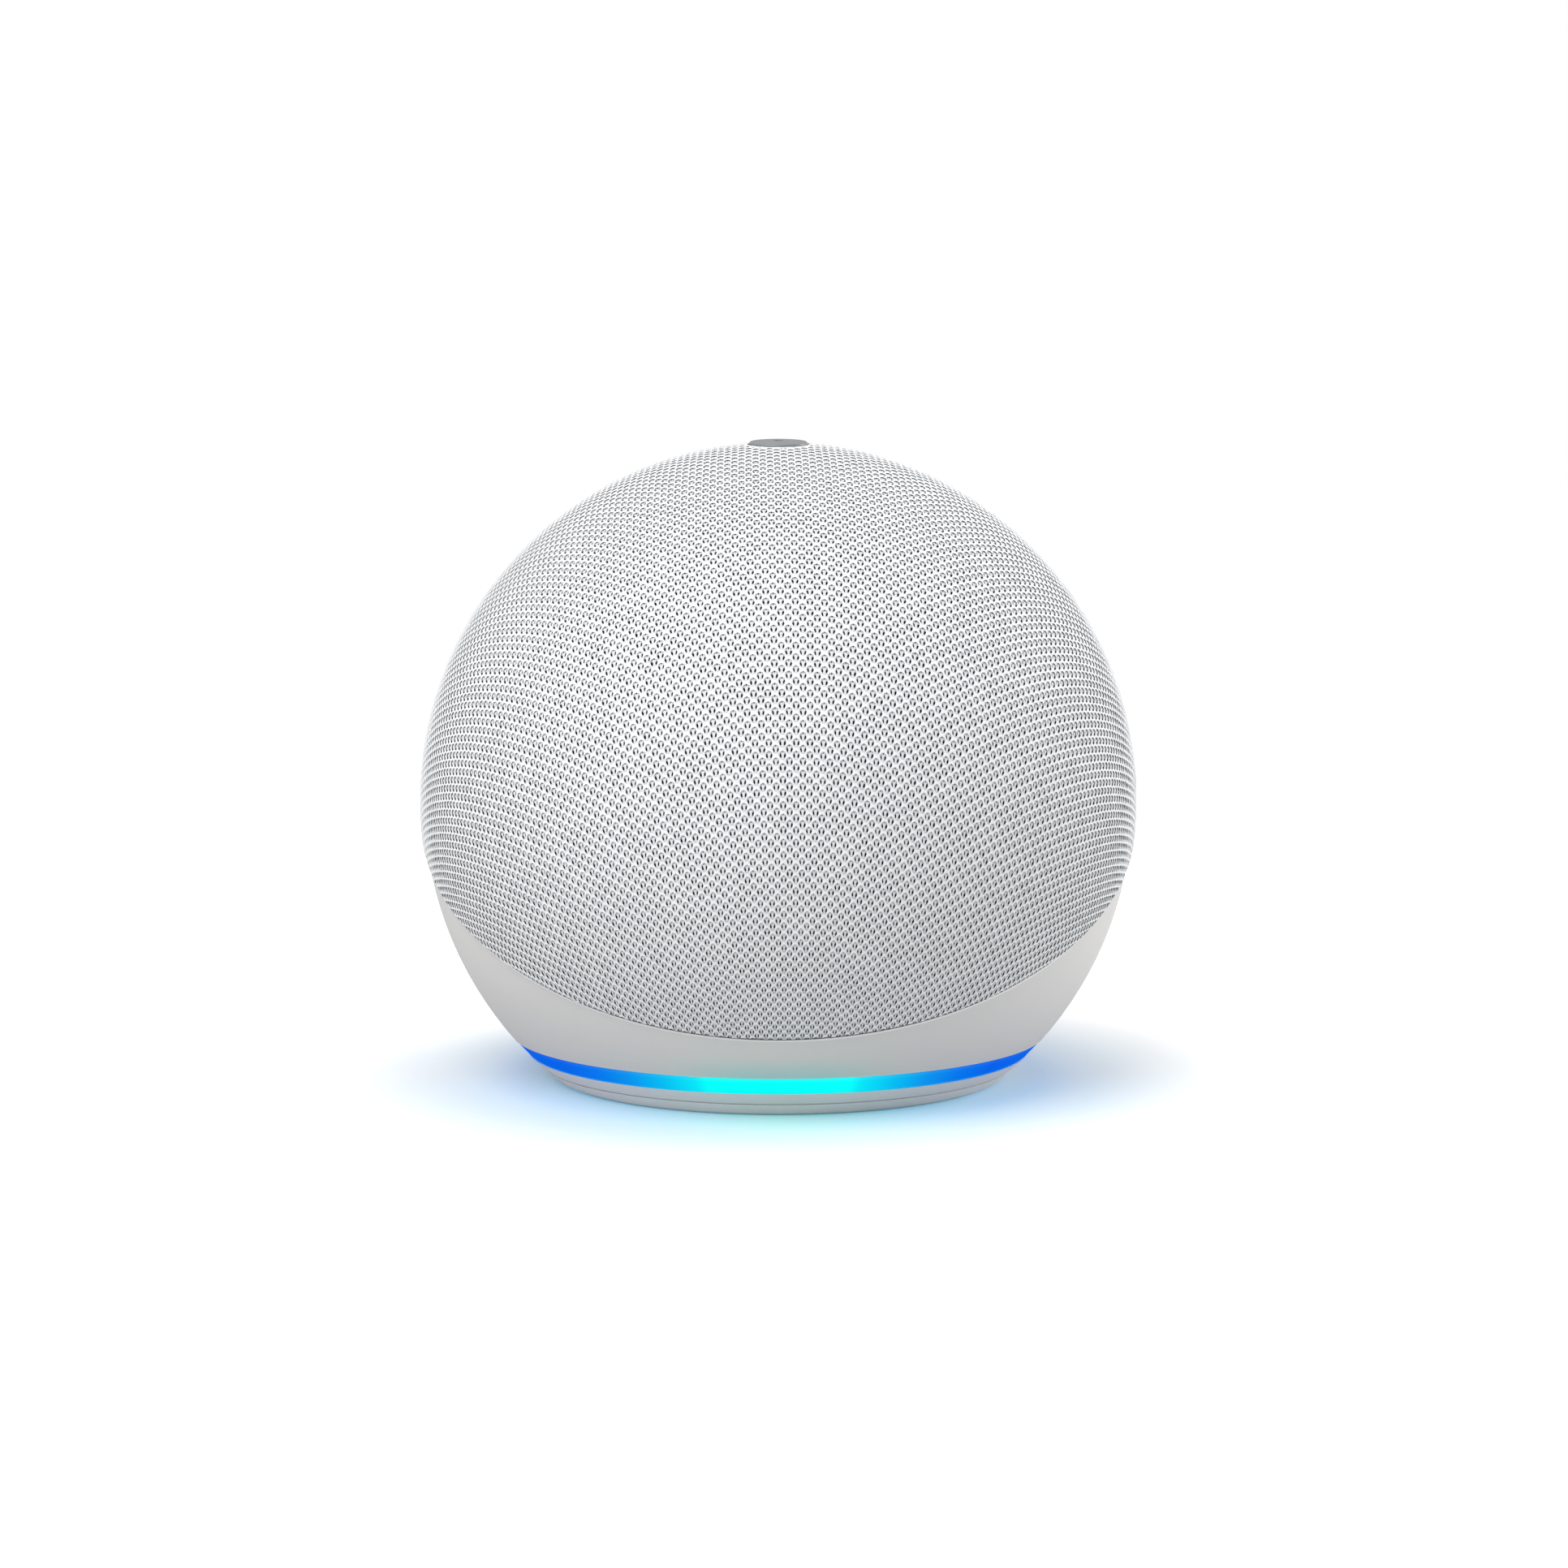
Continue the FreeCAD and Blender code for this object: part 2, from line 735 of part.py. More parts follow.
def heat_sink():
    """A finned plate on the processor, standing on four legs on the main board."""
    width, depth, plate = sink_size
    base = board_top + chip_size[2] + pad_thickness
    pieces = [block(sink_size, (0, sink_centre_y), base)]
    pitch = (width - sink_fin_thickness) / (sink_fins - 1)
    for k in range(sink_fins):
        x = (k - (sink_fins - 1) / 2) * pitch
        fin = (sink_fin_thickness, depth, sink_fin_height)
        pieces.append(block(fin, (x, sink_centre_y), base + plate))
    for x in (-1, 1):
        for y in (-1, 1):
            spot = (x * (width - sink_leg) / 2, sink_centre_y + y * (depth - sink_leg) / 2)
            pieces.append(block((sink_leg, sink_leg, base - board_top), spot, board_top))
    return fused(pieces)


def shield_can():
    """A pressed lid over the radio, on the underside of the main board."""
    base = board_height - shield_size[2]
    inside = (shield_size[0] - 2 * shield_wall, shield_size[1] - 2 * shield_wall, shield_size[2])
    can = block(shield_size, shield_centre, base)
    return can.cut(block(inside, shield_centre, base + shield_wall))


def lead_socket():
    return block(lead_socket_size, lead_socket_centre, board_top)


def jack_body(side, width, nose_radius):
    x = side * port_spacing / 2
    depth = jack_front_y - jack_back_y
    body = block((width, depth, jack_height), (x, jack_back_y + depth / 2), board_top)
    nose = cylinder(nose_radius, port_face_y - jack_front_y, Vector(x, jack_front_y, port_height), Y_AXIS)
    return body.fuse(nose)


def jack_bore(side, radius, back_y):
    start = Vector(side * port_spacing / 2, back_y, port_height)
    return cylinder(radius, port_face_y - back_y, start, Y_AXIS)


def audio_jack():
    body = jack_body(1, audio_width, audio_nose_radius)
    return body.cut(jack_bore(1, audio_bore_radius, audio_bore_back_y)).removeSplitter()


def power_jack():
    body = jack_body(-1, power_width, power_nose_radius)
    return body.cut(jack_bore(-1, power_bore_radius, power_bore_back_y)).removeSplitter()


def power_jack_pin():
    start = Vector(-port_spacing / 2, power_bore_back_y, port_height)
    length = port_face_y - power_pin_recess - power_bore_back_y
    return cylinder(power_pin_radius, length, start, Y_AXIS)


# --- Loudspeaker box ------------------------------------------------------------------------------


def box_form(inset):
    """The loudspeaker box's outside, or its inside when inset by the wall."""
    form = ball(box_radius - inset)
    form = form.common(slab(FreeCAD.Placement(), box_floor + inset, box_ceiling - inset))
    return form.common(slab(driver_frame, -BEYOND, baffle_front - inset))


def box_wall_between(outer_inset, inner_inset, low, high):
    """Part of the box's wall, between two places along the driver's axis."""
    return box_form(outer_inset).cut(box_form(inner_inset)).common(slab(driver_frame, low, high))


def box_bosses(low, high):
    """Blind bosses on the box's floor, over the bowl's posts, between two places on the axis."""
    bosses = []
    for spot in on_circle(post_circle, base_screw_angles, box_floor):
        boss = cylinder(boss_radius, box_wall + box_boss_height, spot)
        if low < driver_frame.inverse().multVec(spot).z < high:
            bosses.append(boss)
    return bosses


def box_screw_holes():
    spots = on_circle(post_circle, base_screw_angles, box_floor)
    return Part.makeCompound([cylinder(screw_hole_radius, post_screw_bite, spot) for spot in spots])


def lead_opening(radius):
    return cylinder(radius, box_wall, Vector(*lead_hole, box_floor))


def box_front():
    """The front half with the baffle, its driver opening and screw holes."""
    half = box_wall_between(0, box_wall, box_split, BEYOND)
    half = half.multiFuse(box_bosses(box_split, BEYOND))
    opening = cylinder(basket_radius + basket_gap, 2 * box_wall, Vector(0, 0, baffle_front - 1.5 * box_wall))
    cuts = [in_frame(opening, driver_frame), box_screw_holes(), lead_opening(grommet_radius)]
    pads = []
    for spot in driver_screw_spots(baffle_front - box_wall - box_boss_height):
        pads.append(in_frame(cylinder(boss_radius, box_boss_height + 1, spot), driver_frame))
    for spot in driver_screw_spots(baffle_front - driver_screw_length):
        cuts.append(in_frame(cylinder(screw_hole_radius, BEYOND, spot), driver_frame))
    return half.multiFuse(pads).cut(Part.makeCompound(cuts)).removeSplitter()


def box_rear():
    """The rear half, with a lip that lines it up inside the front half."""
    half = box_wall_between(0, box_wall, -BEYOND, box_split)
    inner = box_wall + box_lip_gap + box_lip_wall
    root = box_wall_between(box_wall, inner, box_split - box_lip, box_split)
    lip = box_wall_between(box_wall + box_lip_gap, inner, box_split, box_split + box_lip)
    rear = half.multiFuse([root, lip, *box_bosses(-BEYOND, box_split)])
    return rear.cut(box_screw_holes()).removeSplitter()


def post_screws():
    """Screws that come up through the bowl's posts into the box."""
    shaft = post_web + washer_thickness + post_screw_bite - 0.5
    tips = on_circle(post_circle, base_screw_angles, post_top - post_web + shaft)
    return Part.makeCompound([pan_screw(p, Z_AXIS, shaft, post_screw_head) for p in tips])


def isolation_washers():
    washers = []
    for spot in on_circle(post_circle, base_screw_angles, post_top):
        hole = cylinder(screw_hole_radius, washer_thickness, spot)
        washers.append(cylinder(post_radius, washer_thickness, spot).cut(hole))
    return Part.makeCompound(washers)


def lead_grommet():
    """A rubber plug that seals the leads' way through the box's floor."""
    body = lead_opening(grommet_radius)
    rim = cylinder(grommet_radius + grommet_rim, grommet_rim, Vector(*lead_hole, box_floor - grommet_rim))
    grommet = body.fuse(rim)
    for route in lead_routes():
        grommet = grommet.cut(tube(route, lead_radius + touch_gap))
    return grommet


# --- Driver ---------------------------------------------------------------------------------------


def driver_screw_spots(height):
    s = driver_screw_half_spacing
    return [Vector(x, y, height) for x in (-s, s) for y in (-s, s)]


def square_plate(base, thickness, bore):
    """A square plate with round corners, a round bore and four screw holes."""
    size = 2 * driver_half_width
    plate = block((size, size, thickness), (0, 0), base)
    corners = [e for e in plate.Edges if abs(e.BoundBox.ZLength - thickness) < 1e-6]
    plate = plate.makeFillet(driver_corner, corners)
    plate = plate.cut(cylinder(bore, thickness, Vector(0, 0, base)))
    for spot in driver_screw_spots(base):
        plate = plate.cut(cylinder(screw_hole_radius, thickness, spot))
    return plate


def driver_frame_basket():
    """The pressed basket: square flange, sloping wall with windows, ledge for the spider, foot."""
    mouth = basket_radius - basket_wall
    flange = square_plate(flange_back, flange_thickness, mouth)
    ledge_top = spider_height
    wall = [
        (mouth, flange_front),
        (basket_radius, flange_front),
        (basket_radius, flange_back),
        (basket_base_radius + spider_ledge, ledge_top),
        (basket_base_radius, basket_foot),
        (basket_base_radius, plate_front),
        (former_radius + 2 * coil_gap + winding_thickness, plate_front),
        (former_radius + 2 * coil_gap + winding_thickness, basket_foot),
        (basket_base_radius - basket_wall, basket_foot),
        (basket_base_radius - basket_wall, ledge_top),
        (spider_outer, ledge_top),
    ]
    basket = flange.fuse(turned(wall))
    width, height = basket_window
    middle = (ledge_top + flange_back) / 2
    for k in range(basket_windows):
        window = Part.makeBox(BEYOND, width, height, Vector(0, -width / 2, middle - height / 2))
        window.rotate(ORIGIN, Z_AXIS, 360.0 * (k + 0.5) / basket_windows)
        basket = basket.cut(window)
    return in_frame(basket.removeSplitter(), driver_frame)


def driver_gasket():
    return in_frame(square_plate(baffle_front, gasket_thickness, basket_radius + basket_gap), driver_frame)


def driver_screws():
    shaft = flange_thickness + gasket_thickness + driver_screw_length - 0.5
    tips = driver_screw_spots(flange_front - shaft)
    screws = [pan_screw(p, -Z_AXIS, shaft, driver_screw_head) for p in tips]
    return in_frame(Part.makeCompound(screws), driver_frame)


def driver_surround():
    """A half-round rubber roll between the basket and the cone."""
    outer = basket_radius - basket_wall + surround_lip
    roll_outer = basket_radius - basket_wall
    roll_inner = cone_rim_radius
    radius = (roll_outer - roll_inner) / 2
    centre = (roll_outer + roll_inner) / 2
    base = flange_front
    top = base + surround_thickness
    roll = [
        Part.Arc(
            Vector(roll_outer, 0, top),
            Vector(centre, 0, top + radius),
            Vector(roll_inner, 0, top),
        ).toShape(),
        Part.Arc(
            Vector(roll_outer - surround_thickness, 0, base),
            Vector(centre, 0, base + radius),
            Vector(roll_inner + surround_thickness, 0, base),
        ).toShape(),
    ]
    inner = cone_rim_radius - surround_lip
    lines = [
        (Vector(outer, 0, base), Vector(outer, 0, top)),
        (Vector(outer, 0, top), Vector(roll_outer, 0, top)),
        (Vector(outer, 0, base), Vector(roll_outer - surround_thickness, 0, base)),
        (Vector(inner, 0, base), Vector(inner, 0, top)),
        (Vector(inner, 0, top), Vector(roll_inner, 0, top)),
        (Vector(inner, 0, base), Vector(roll_inner + surround_thickness, 0, base)),
    ]
    edges = roll + [Part.makeLine(a, b) for a, b in lines]
    face = Part.Face(Part.Wire(Part.__sortEdges__(edges)))
    return in_frame(face.revolve(ORIGIN, Z_AXIS, 360), driver_frame)


def driver_cone():
    """A straight-sided paper cone with a flat rim under the surround."""
    rim = cone_rim_radius
    neck = former_radius
    thin = cone_thickness
    outline = [
        (rim - surround_lip, flange_front),
        (rim, flange_front),
        (rim, flange_front - thin),
        (neck, cone_neck),
        (neck, cone_neck + thin),
    ]
    return in_frame(turned(outline), driver_frame)


def dust_cap():
    """A shallow dome over the neck, standing on the former's end."""
    foot = cone_neck + 2 * cone_thickness
    radius = former_radius
    sphere = (radius**2 + cap_rise**2) / (2 * cap_rise)
    centre = Vector(0, 0, foot + cap_rise - sphere)
    cap = ball(sphere, centre).cut(ball(sphere - cap_thickness, centre))
    cap = cap.common(cylinder(radius, cap_rise + 1, Vector(0, 0, foot)))
    return in_frame(cap, driver_frame)


def voice_coil_former():
    end = cone_neck + 2 * cone_thickness
    ring = ring_solid(former_radius, former_radius - former_wall, former_end, end)
    return in_frame(ring, driver_frame)


def voice_coil_winding():
    ring = ring_solid(
        former_radius + winding_thickness, former_radius, former_end, former_end + winding_height
    )
    return in_frame(ring, driver_frame)


def driver_spider():
    """A flat cloth ring that centres the coil; its ripples are too fine to model."""
    gap = touch_gap
    ring = ring_solid(
        basket_base_radius, former_radius + gap, spider_height, spider_height + spider_thickness
    )
    return in_frame(ring, driver_frame)


def driver_top_plate():
    bore = former_radius + winding_thickness + coil_gap
    return in_frame(ring_solid(plate_radius, bore, magnet_front, plate_front), driver_frame)


def driver_magnet():
    return in_frame(ring_solid(magnet_radius, magnet_bore, yoke_front, magnet_front), driver_frame)


def driver_yoke():
    back = cylinder(yoke_radius, yoke_thickness, Vector(0, 0, yoke_front - yoke_thickness))
    pole_radius = former_radius - former_wall - pole_gap
    pole = cylinder(pole_radius, plate_front - yoke_front, Vector(0, 0, yoke_front))
    return in_frame(fused([back, pole]), driver_frame)


def driver_terminals():
    """A small tag strip on the side of the basket's foot."""
    thick, width = terminal_size
    x = basket_base_radius + thick / 2
    strip = block((thick, width, basket_foot_thickness), (x, 0), plate_front)
    strip = strip.cut(cylinder(basket_base_radius, BEYOND, ORIGIN))
    return in_frame(strip, driver_frame)


# --- Loudspeaker leads ----------------------------------------------------------------------------


def lead_routes():
    """Two thin leads side by side: out of the terminals, down through the floor, into the socket."""
    level = plate_front + basket_foot_thickness / 2
    routes = []
    for side in (-0.5, 0.5):
        offset = side * lead_spacing
        exit_x = basket_base_radius + terminal_size[0]
        start = driver_frame.multVec(Vector(exit_x, offset, level))
        out = driver_frame.multVec(Vector(exit_x + 6.0, offset, level))
        drop = Vector(out.x + 3.0, out.y + 0.4 + offset, out.z - 5.7)
        over = Vector(lead_hole[0] + 5.0, lead_hole[1] + offset, box_floor + 8.5)
        down = Vector(lead_hole[0], lead_hole[1] + offset, box_floor + 5.5)
        under = Vector(lead_hole[0], lead_hole[1] + offset, box_floor - 2.7)
        end = Vector(lead_socket_centre[0], lead_socket_centre[1] + offset, lead_socket_top)
        above = end + Z_AXIS * 3.4
        routes.append([start, out, drop, over, down, under, above, end])
    return routes


def rounded_path(points):
    """Straight runs joined by tangent arcs, each as large as its two runs allow."""
    edges = []
    radii = []
    at = points[0]
    for before, corner, after in zip(points, points[1:], points[2:]):
        back, ahead = before - corner, after - corner
        cut = bend_share * min(back.Length, ahead.Length)
        back.normalize()
        ahead.normalize()
        turn = math.pi - back.getAngle(ahead)
        radii.append(cut / math.tan(turn / 2))
        first, last = corner + back * cut, corner + ahead * cut
        middle = back + ahead
        middle.normalize()
        to_centre = radii[-1] / math.cos(turn / 2)
        crown = corner + middle * (to_centre - radii[-1])
        edges.append(Part.makeLine(at, first))
        edges.append(Part.Arc(first, crown, last).toShape())
        at = last
    edges.append(Part.makeLine(at, points[-1]))
    return Part.Wire(edges), radii


def tube(points, radius):
    path, _ = rounded_path(points)
    direction = points[1] - points[0]
    section = Part.Wire(Part.makeCircle(radius, points[0], direction))
    return path.makePipeShell([section], True, True)


def speaker_leads():
    leads = []
    for route in lead_routes():
        path, radii = rounded_path(route)
        lead = tube(route, lead_radius)
        area = math.pi * lead_radius**2
        print("lead", round(path.Length, 1), "mm, radii", [round(r, 1) for r in radii],
              "volume share", round(lead.Volume / (area * path.Length), 3))
        leads.append(lead)
    return Part.makeCompound(leads)


# --- All pieces -----------------------------------------------------------------------------------


def all_pieces():
    button_plug, main_socket = ribbon_connectors()
    pieces = {
        "fabric_cover": fabric_cover(),
        "grille_dome": grille_dome(),
        "lower_bowl": lower_bowl(),
        "light_ring": light_ring(),
        "base_cover": base_cover(),
        "foot_ring": foot_ring(),
        "light_board": light_board(),
        "light_leds": light_leds(),
        "light_board_header": light_board_header(),
        "main_board": main_board(),
        "processor_chip": processor_chip(),
        "thermal_pad": thermal_pad(),
        "heat_sink": heat_sink(),
        "shield_can": shield_can(),
        "lead_socket": lead_socket(),
        "audio_jack": audio_jack(),
        "power_jack": power_jack(),
        "power_jack_pin": power_jack_pin(),
        "box_front": box_front(),
        "box_rear": box_rear(),
        "isolation_washers": isolation_washers(),
        "driver_basket": driver_frame_basket(),
        "driver_gasket": driver_gasket(),
        "driver_surround": driver_surround(),
        "driver_spider": driver_spider(),
        "driver_cone": driver_cone(),
        "driver_dust_cap": dust_cap(),
        "voice_coil_former": voice_coil_former(),
        "voice_coil_winding": voice_coil_winding(),
        "driver_top_plate": driver_top_plate(),
        "driver_magnet": driver_magnet(),
        "driver_yoke": driver_yoke(),
        "driver_terminals": driver_terminals(),
        "speaker_leads": speaker_leads(),
        "lead_grommet": lead_grommet(),
        "button_board": button_board(),
        "tact_switches": tact_switches(),
        "microphones": microphones(),
        "ribbon_plug": button_plug,
        "ribbon_socket": main_socket,
        "ribbon_cable": ribbon_cable(),
        "base_screws": base_screws(),
        "main_board_screws": main_board_screws(),
        "post_screws": post_screws(),
        "driver_screws": driver_screws(),
        "button_board_screws": button_board_screws(),
    }
    for name, x, y in button_spots():
        pieces[name + "_button"] = button(name, x, y)
        pieces[name + "_plunger"] = plunger(x, y)
    return pieces


os.makedirs("parts", exist_ok=True)
for node, shape in all_pieces().items():
    shape.exportStep(os.path.join("parts", node + ".step"))
    state = "ok" if shape.isValid() else "INVALID"
    print(node, len(shape.Solids), "solids", round(shape.Volume, 1), "mm3", state)
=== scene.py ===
import math

import bpy
import numpy as np
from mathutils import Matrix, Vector


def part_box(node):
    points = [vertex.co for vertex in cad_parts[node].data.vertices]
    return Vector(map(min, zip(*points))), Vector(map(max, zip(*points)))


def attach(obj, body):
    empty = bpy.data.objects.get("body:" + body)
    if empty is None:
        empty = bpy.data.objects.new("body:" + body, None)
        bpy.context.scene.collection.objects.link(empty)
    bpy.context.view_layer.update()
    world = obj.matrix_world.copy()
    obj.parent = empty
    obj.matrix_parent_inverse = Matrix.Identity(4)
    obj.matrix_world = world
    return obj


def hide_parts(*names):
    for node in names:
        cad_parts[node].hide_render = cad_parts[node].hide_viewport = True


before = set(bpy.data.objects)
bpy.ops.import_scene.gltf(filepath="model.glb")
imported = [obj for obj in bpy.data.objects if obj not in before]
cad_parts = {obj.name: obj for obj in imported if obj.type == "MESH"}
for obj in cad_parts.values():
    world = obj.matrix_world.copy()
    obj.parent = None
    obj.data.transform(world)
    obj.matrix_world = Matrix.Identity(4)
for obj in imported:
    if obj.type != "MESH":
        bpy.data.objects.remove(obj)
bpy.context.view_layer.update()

# ---------------------------------------------------------------------------------------------
# Foot ring: a moulded rubber ring that the speaker stands on, pressed into the base cover, with
# a dull, slightly pitted skin. Lengths are in millimetres unless they say metres.
# ---------------------------------------------------------------------------------------------
MM = 0.001


def put(material, kind, wires=(), **settings):
    """Adds one shader node. wires pairs each input socket with a number, a colour or another
    node's output; settings are the node's own choices."""
    node = material.node_tree.nodes.new("ShaderNode" + kind)
    for key, value in settings.items():
        setattr(node, key, value)
    for socket, value in dict(wires).items():
        if isinstance(value, bpy.types.NodeSocket):
            material.node_tree.links.new(value, node.inputs[socket])
        else:
            node.inputs[socket].default_value = value
    return node


def sums(material, operation, first, second=0.0):
    """One arithmetic step on two numbers."""
    return put(material, "Math", {0: first, 1: second}, operation=operation).outputs[0]


def spread(material, value, start, end, low=0.0, high=1.0, way="LINEAR"):
    """A number that goes from low to high while value goes from start to end."""
    wires = {"Value": value, "From Min": start, "From Max": end, "To Min": low, "To Max": high}
    return put(material, "MapRange", wires, interpolation_type=way).outputs[0]


def cloudy(material, place, size, detail=2.0, low=0.3, high=0.7):
    """Noise with clouds about size millimetres across, spread to fill 0 to 1."""
    noise = put(material, "TexNoise", {"Vector": place, "Scale": 1 / (size * MM), "Detail": detail})
    return spread(material, noise.outputs[0], low, high)


def tinted(material, share, first, second):
    """first where share is 0, second where it is 1, and a mixture between."""
    mix = put(material, "Mix", {0: share, 6: first, 7: second}, data_type="RGBA", clamp_factor=True)
    return mix.outputs[2]


def shader_of(material):
    """The node that holds the finish."""
    return material.node_tree.nodes["Principled BSDF"]


def wired(material, **outputs):
    """Feeds sockets of the finish from other nodes' outputs."""
    for socket, output in outputs.items():
        material.node_tree.links.new(output, shader_of(material).inputs[socket.replace("_", " ")])


def place_of(material):
    """Where a point of the piece is, in metres."""
    return put(material, "TexCoord").outputs["Object"]


def painted(material, share, colour):
    """Lays another colour over the finish, as much as share says."""
    old = shader_of(material).inputs["Base Color"].links[0].from_socket
    wired(material, Base_Color=tinted(material, share, old, (*colour, 1)))


def embossed(material, height, depth):
    """Raises the surface by depth millimetres times height, over the relief it already has."""
    normal = shader_of(material).inputs["Normal"]
    wires = {"Height": height, "Distance": depth * MM, "Strength": 1.0}
    if normal.is_linked:
        wires["Normal"] = normal.links[0].from_socket
    wired(material, Normal=put(material, "Bump", wires).outputs[0])


def finish(name, light, dark, rough, patch, grain, grain_size, stretch=(1, 1, 1), **constants):
    """A finish whose colour drifts between light and dark over patches, whose roughness wanders
    between the two values of rough, and whose skin has a grain so many millimetres deep and wide.
    stretch multiplies the pattern along each axis, and constants set the shader's own sockets."""
    material = bpy.data.materials.new(name)
    material.use_nodes = True
    for socket, value in constants.items():
        shader_of(material).inputs[socket.replace("_", " ")].default_value = value
    place = put(material, "Mapping", {"Vector": place_of(material), "Scale": stretch}).outputs[0]
    wear = cloudy(material, place, patch / 6, 4.0)
    colour = tinted(material, cloudy(material, place, patch), (*light, 1), (*dark, 1))
    wired(material, Base_Color=colour, Roughness=spread(material, wear, 0.0, 1.0, *rough))
    embossed(material, cloudy(material, place, grain_size, 2.0, 0.0, 1.0), grain)
    return material


def dress(material, *names):
    """Gives the named CAD pieces the material."""
    for name in names:
        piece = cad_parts[name]
        if not piece.material_slots:
            piece.data.materials.append(material)
        for slot in piece.material_slots:
            slot.material = material


foot_rubber = finish("foot_rubber", (0.93, 0.93, 0.935), (0.90, 0.90, 0.905), (0.62, 0.78), 12, 0.03, 0.35)
dress(foot_rubber, "foot_ring")

# ---------------------------------------------------------------------------------------------
# Base cover: a shallow dish of off-white plastic, spark-eroded to a fine satin. Four screws hold
# it up against the bowl's floor.
# ---------------------------------------------------------------------------------------------
base_plastic = finish("base_plastic", (0.84, 0.84, 0.845), (0.82, 0.82, 0.825), (0.42, 0.52), 18, 0.006, 0.16)
dress(base_plastic, "base_cover")

# ---------------------------------------------------------------------------------------------
# Screws: small zinc-plated steel screws for plastic, all with one shape of head. They are
# tumbled in the plating bath, so their shine is clouded and scuffed.
# ---------------------------------------------------------------------------------------------
screw_steel = finish(
    "screw_steel", (0.62, 0.63, 0.65), (0.48, 0.49, 0.51), (0.26, 0.42), 2.5, 0.012, 0.2, Metallic=1.0
)
dress(
    screw_steel, "base_screws", "main_board_screws", "post_screws", "driver_screws", "button_board_screws"
)

# ---------------------------------------------------------------------------------------------
# Light board: a thin ring of white-masked laminate lying on the base, with twelve side-emitting
# lamps round its edge and a pin header up to the main board.
# ---------------------------------------------------------------------------------------------
def axes_of(material, place):
    """A place's x, y and z."""
    return put(material, "SeparateXYZ", {0: place}).outputs


def routed(material, pitch, width, colour):
    """Copper tracks seen through the solder mask: the board is split into blocks, each routed
    one way or the other, with a track every pitch millimetres, as wide as a share of it."""
    place = place_of(material)
    block = put(
        material, "TexVoronoi", {"Vector": place, "Scale": 1 / (9 * pitch * MM)}, distance="MANHATTAN"
    )
    parts = axes_of(material, place)
    turn = put(material, "SeparateColor", {0: block.outputs["Color"]}).outputs[0]
    way = sums(material, "GREATER_THAN", turn, 0.5)
    run = put(material, "Mix", {0: way, 2: parts[0], 3: parts[1]}).outputs[0]
    phase = sums(material, "FRACT", sums(material, "DIVIDE", run, pitch * MM))
    track = sums(material, "LESS_THAN", phase, width)
    painted(material, track, colour)
    embossed(material, track, 0.03)


light_board_laminate = finish(
    "light_board_laminate", (0.80, 0.80, 0.77), (0.74, 0.74, 0.70), (0.30, 0.42), 20, 0.004, 0.3
)
routed(light_board_laminate, 1.4, 0.3, (0.70, 0.72, 0.64))
led_package = finish("led_package", (0.85, 0.84, 0.72), (0.80, 0.76, 0.52), (0.18, 0.34), 1.6, 0.008, 0.2)
connector_plastic = finish(
    "connector_plastic", (0.055, 0.055, 0.06), (0.04, 0.04, 0.045), (0.38, 0.55), 6, 0.01, 0.2
)
dress(light_board_laminate, "light_board")
dress(led_package, "light_leds")
dress(connector_plastic, "light_board_header")

# ---------------------------------------------------------------------------------------------
# Light ring: a diffuser of milky acrylic, injection moulded and trapped between the base and
# the bowl. The lamps behind it light its front pale cyan and the rest of its turn blue.
# ---------------------------------------------------------------------------------------------
ring_bottom, ring_top = (corner[2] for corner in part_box("light_ring"))  # heights, in metres
ring_glow = (  # share of the half turn from the front, colour of the light there
    (0.000, (0.001, 1.000, 0.956)),
    (0.083, (0.001, 1.000, 0.956)),
    (0.097, (0.001, 0.776, 0.922)),
    (0.139, (0.001, 0.497, 0.888)),
    (0.183, (0.002, 0.279, 0.847)),
    (0.233, (0.001, 0.168, 0.839)),
    (0.289, (0.001, 0.114, 0.815)),
)


def round_from_front(material):
    """How far round the object's axis a point is from the front, as a share of half a turn."""
    parts = axes_of(material, place_of(material))
    turn = sums(material, "ARCTAN2", parts[0], sums(material, "MULTIPLY", parts[1], -1.0))
    return sums(material, "DIVIDE", sums(material, "ABSOLUTE", turn), math.pi)


def read_off(material, share, stops):
    """The colour at a share, between stops that pair a share with its colour."""
    ramp = put(material, "ValToRGB", {0: share})
    while len(ramp.color_ramp.elements) < len(stops):
        ramp.color_ramp.elements.new(1.0)
    for stop, (at, colour) in zip(ramp.color_ramp.elements, stops):
        stop.position, stop.color = at, (*colour, 1)
    return ramp.outputs[0]


ring_diffuser = finish(
    "ring_diffuser", (0.004, 0.03, 0.04), (0.002, 0.02, 0.03), (0.22, 0.30), 8, 0.002, 0.4,
    Specular_IOR_Level=0.02, IOR=1.01,
)
level = axes_of(ring_diffuser, place_of(ring_diffuser))[2]
# Painted highlight: the emitted light whitens a little along the ring's top edge
painted_top_highlight = spread(ring_diffuser, level, ring_top - 0.75 * MM, ring_top - 0.25 * MM, 0.0, 0.012, "SMOOTHSTEP")
sill = spread(ring_diffuser, level, ring_bottom + 0.2 * MM, ring_bottom + 0.34 * MM, 0.2, 0.0)
lit = read_off(ring_diffuser, round_from_front(ring_diffuser), ring_glow)
lit = tinted(ring_diffuser, painted_top_highlight, lit, (1, 1, 1, 1))
lit = tinted(ring_diffuser, sill, lit, (0.02, 0.55, 0.70, 1))
mottle = cloudy(ring_diffuser, place_of(ring_diffuser), 6.0)
wired(ring_diffuser, Emission_Color=lit, Emission_Strength=spread(ring_diffuser, mottle, 0.0, 1.0, 0.97))
dress(ring_diffuser, "light_ring")
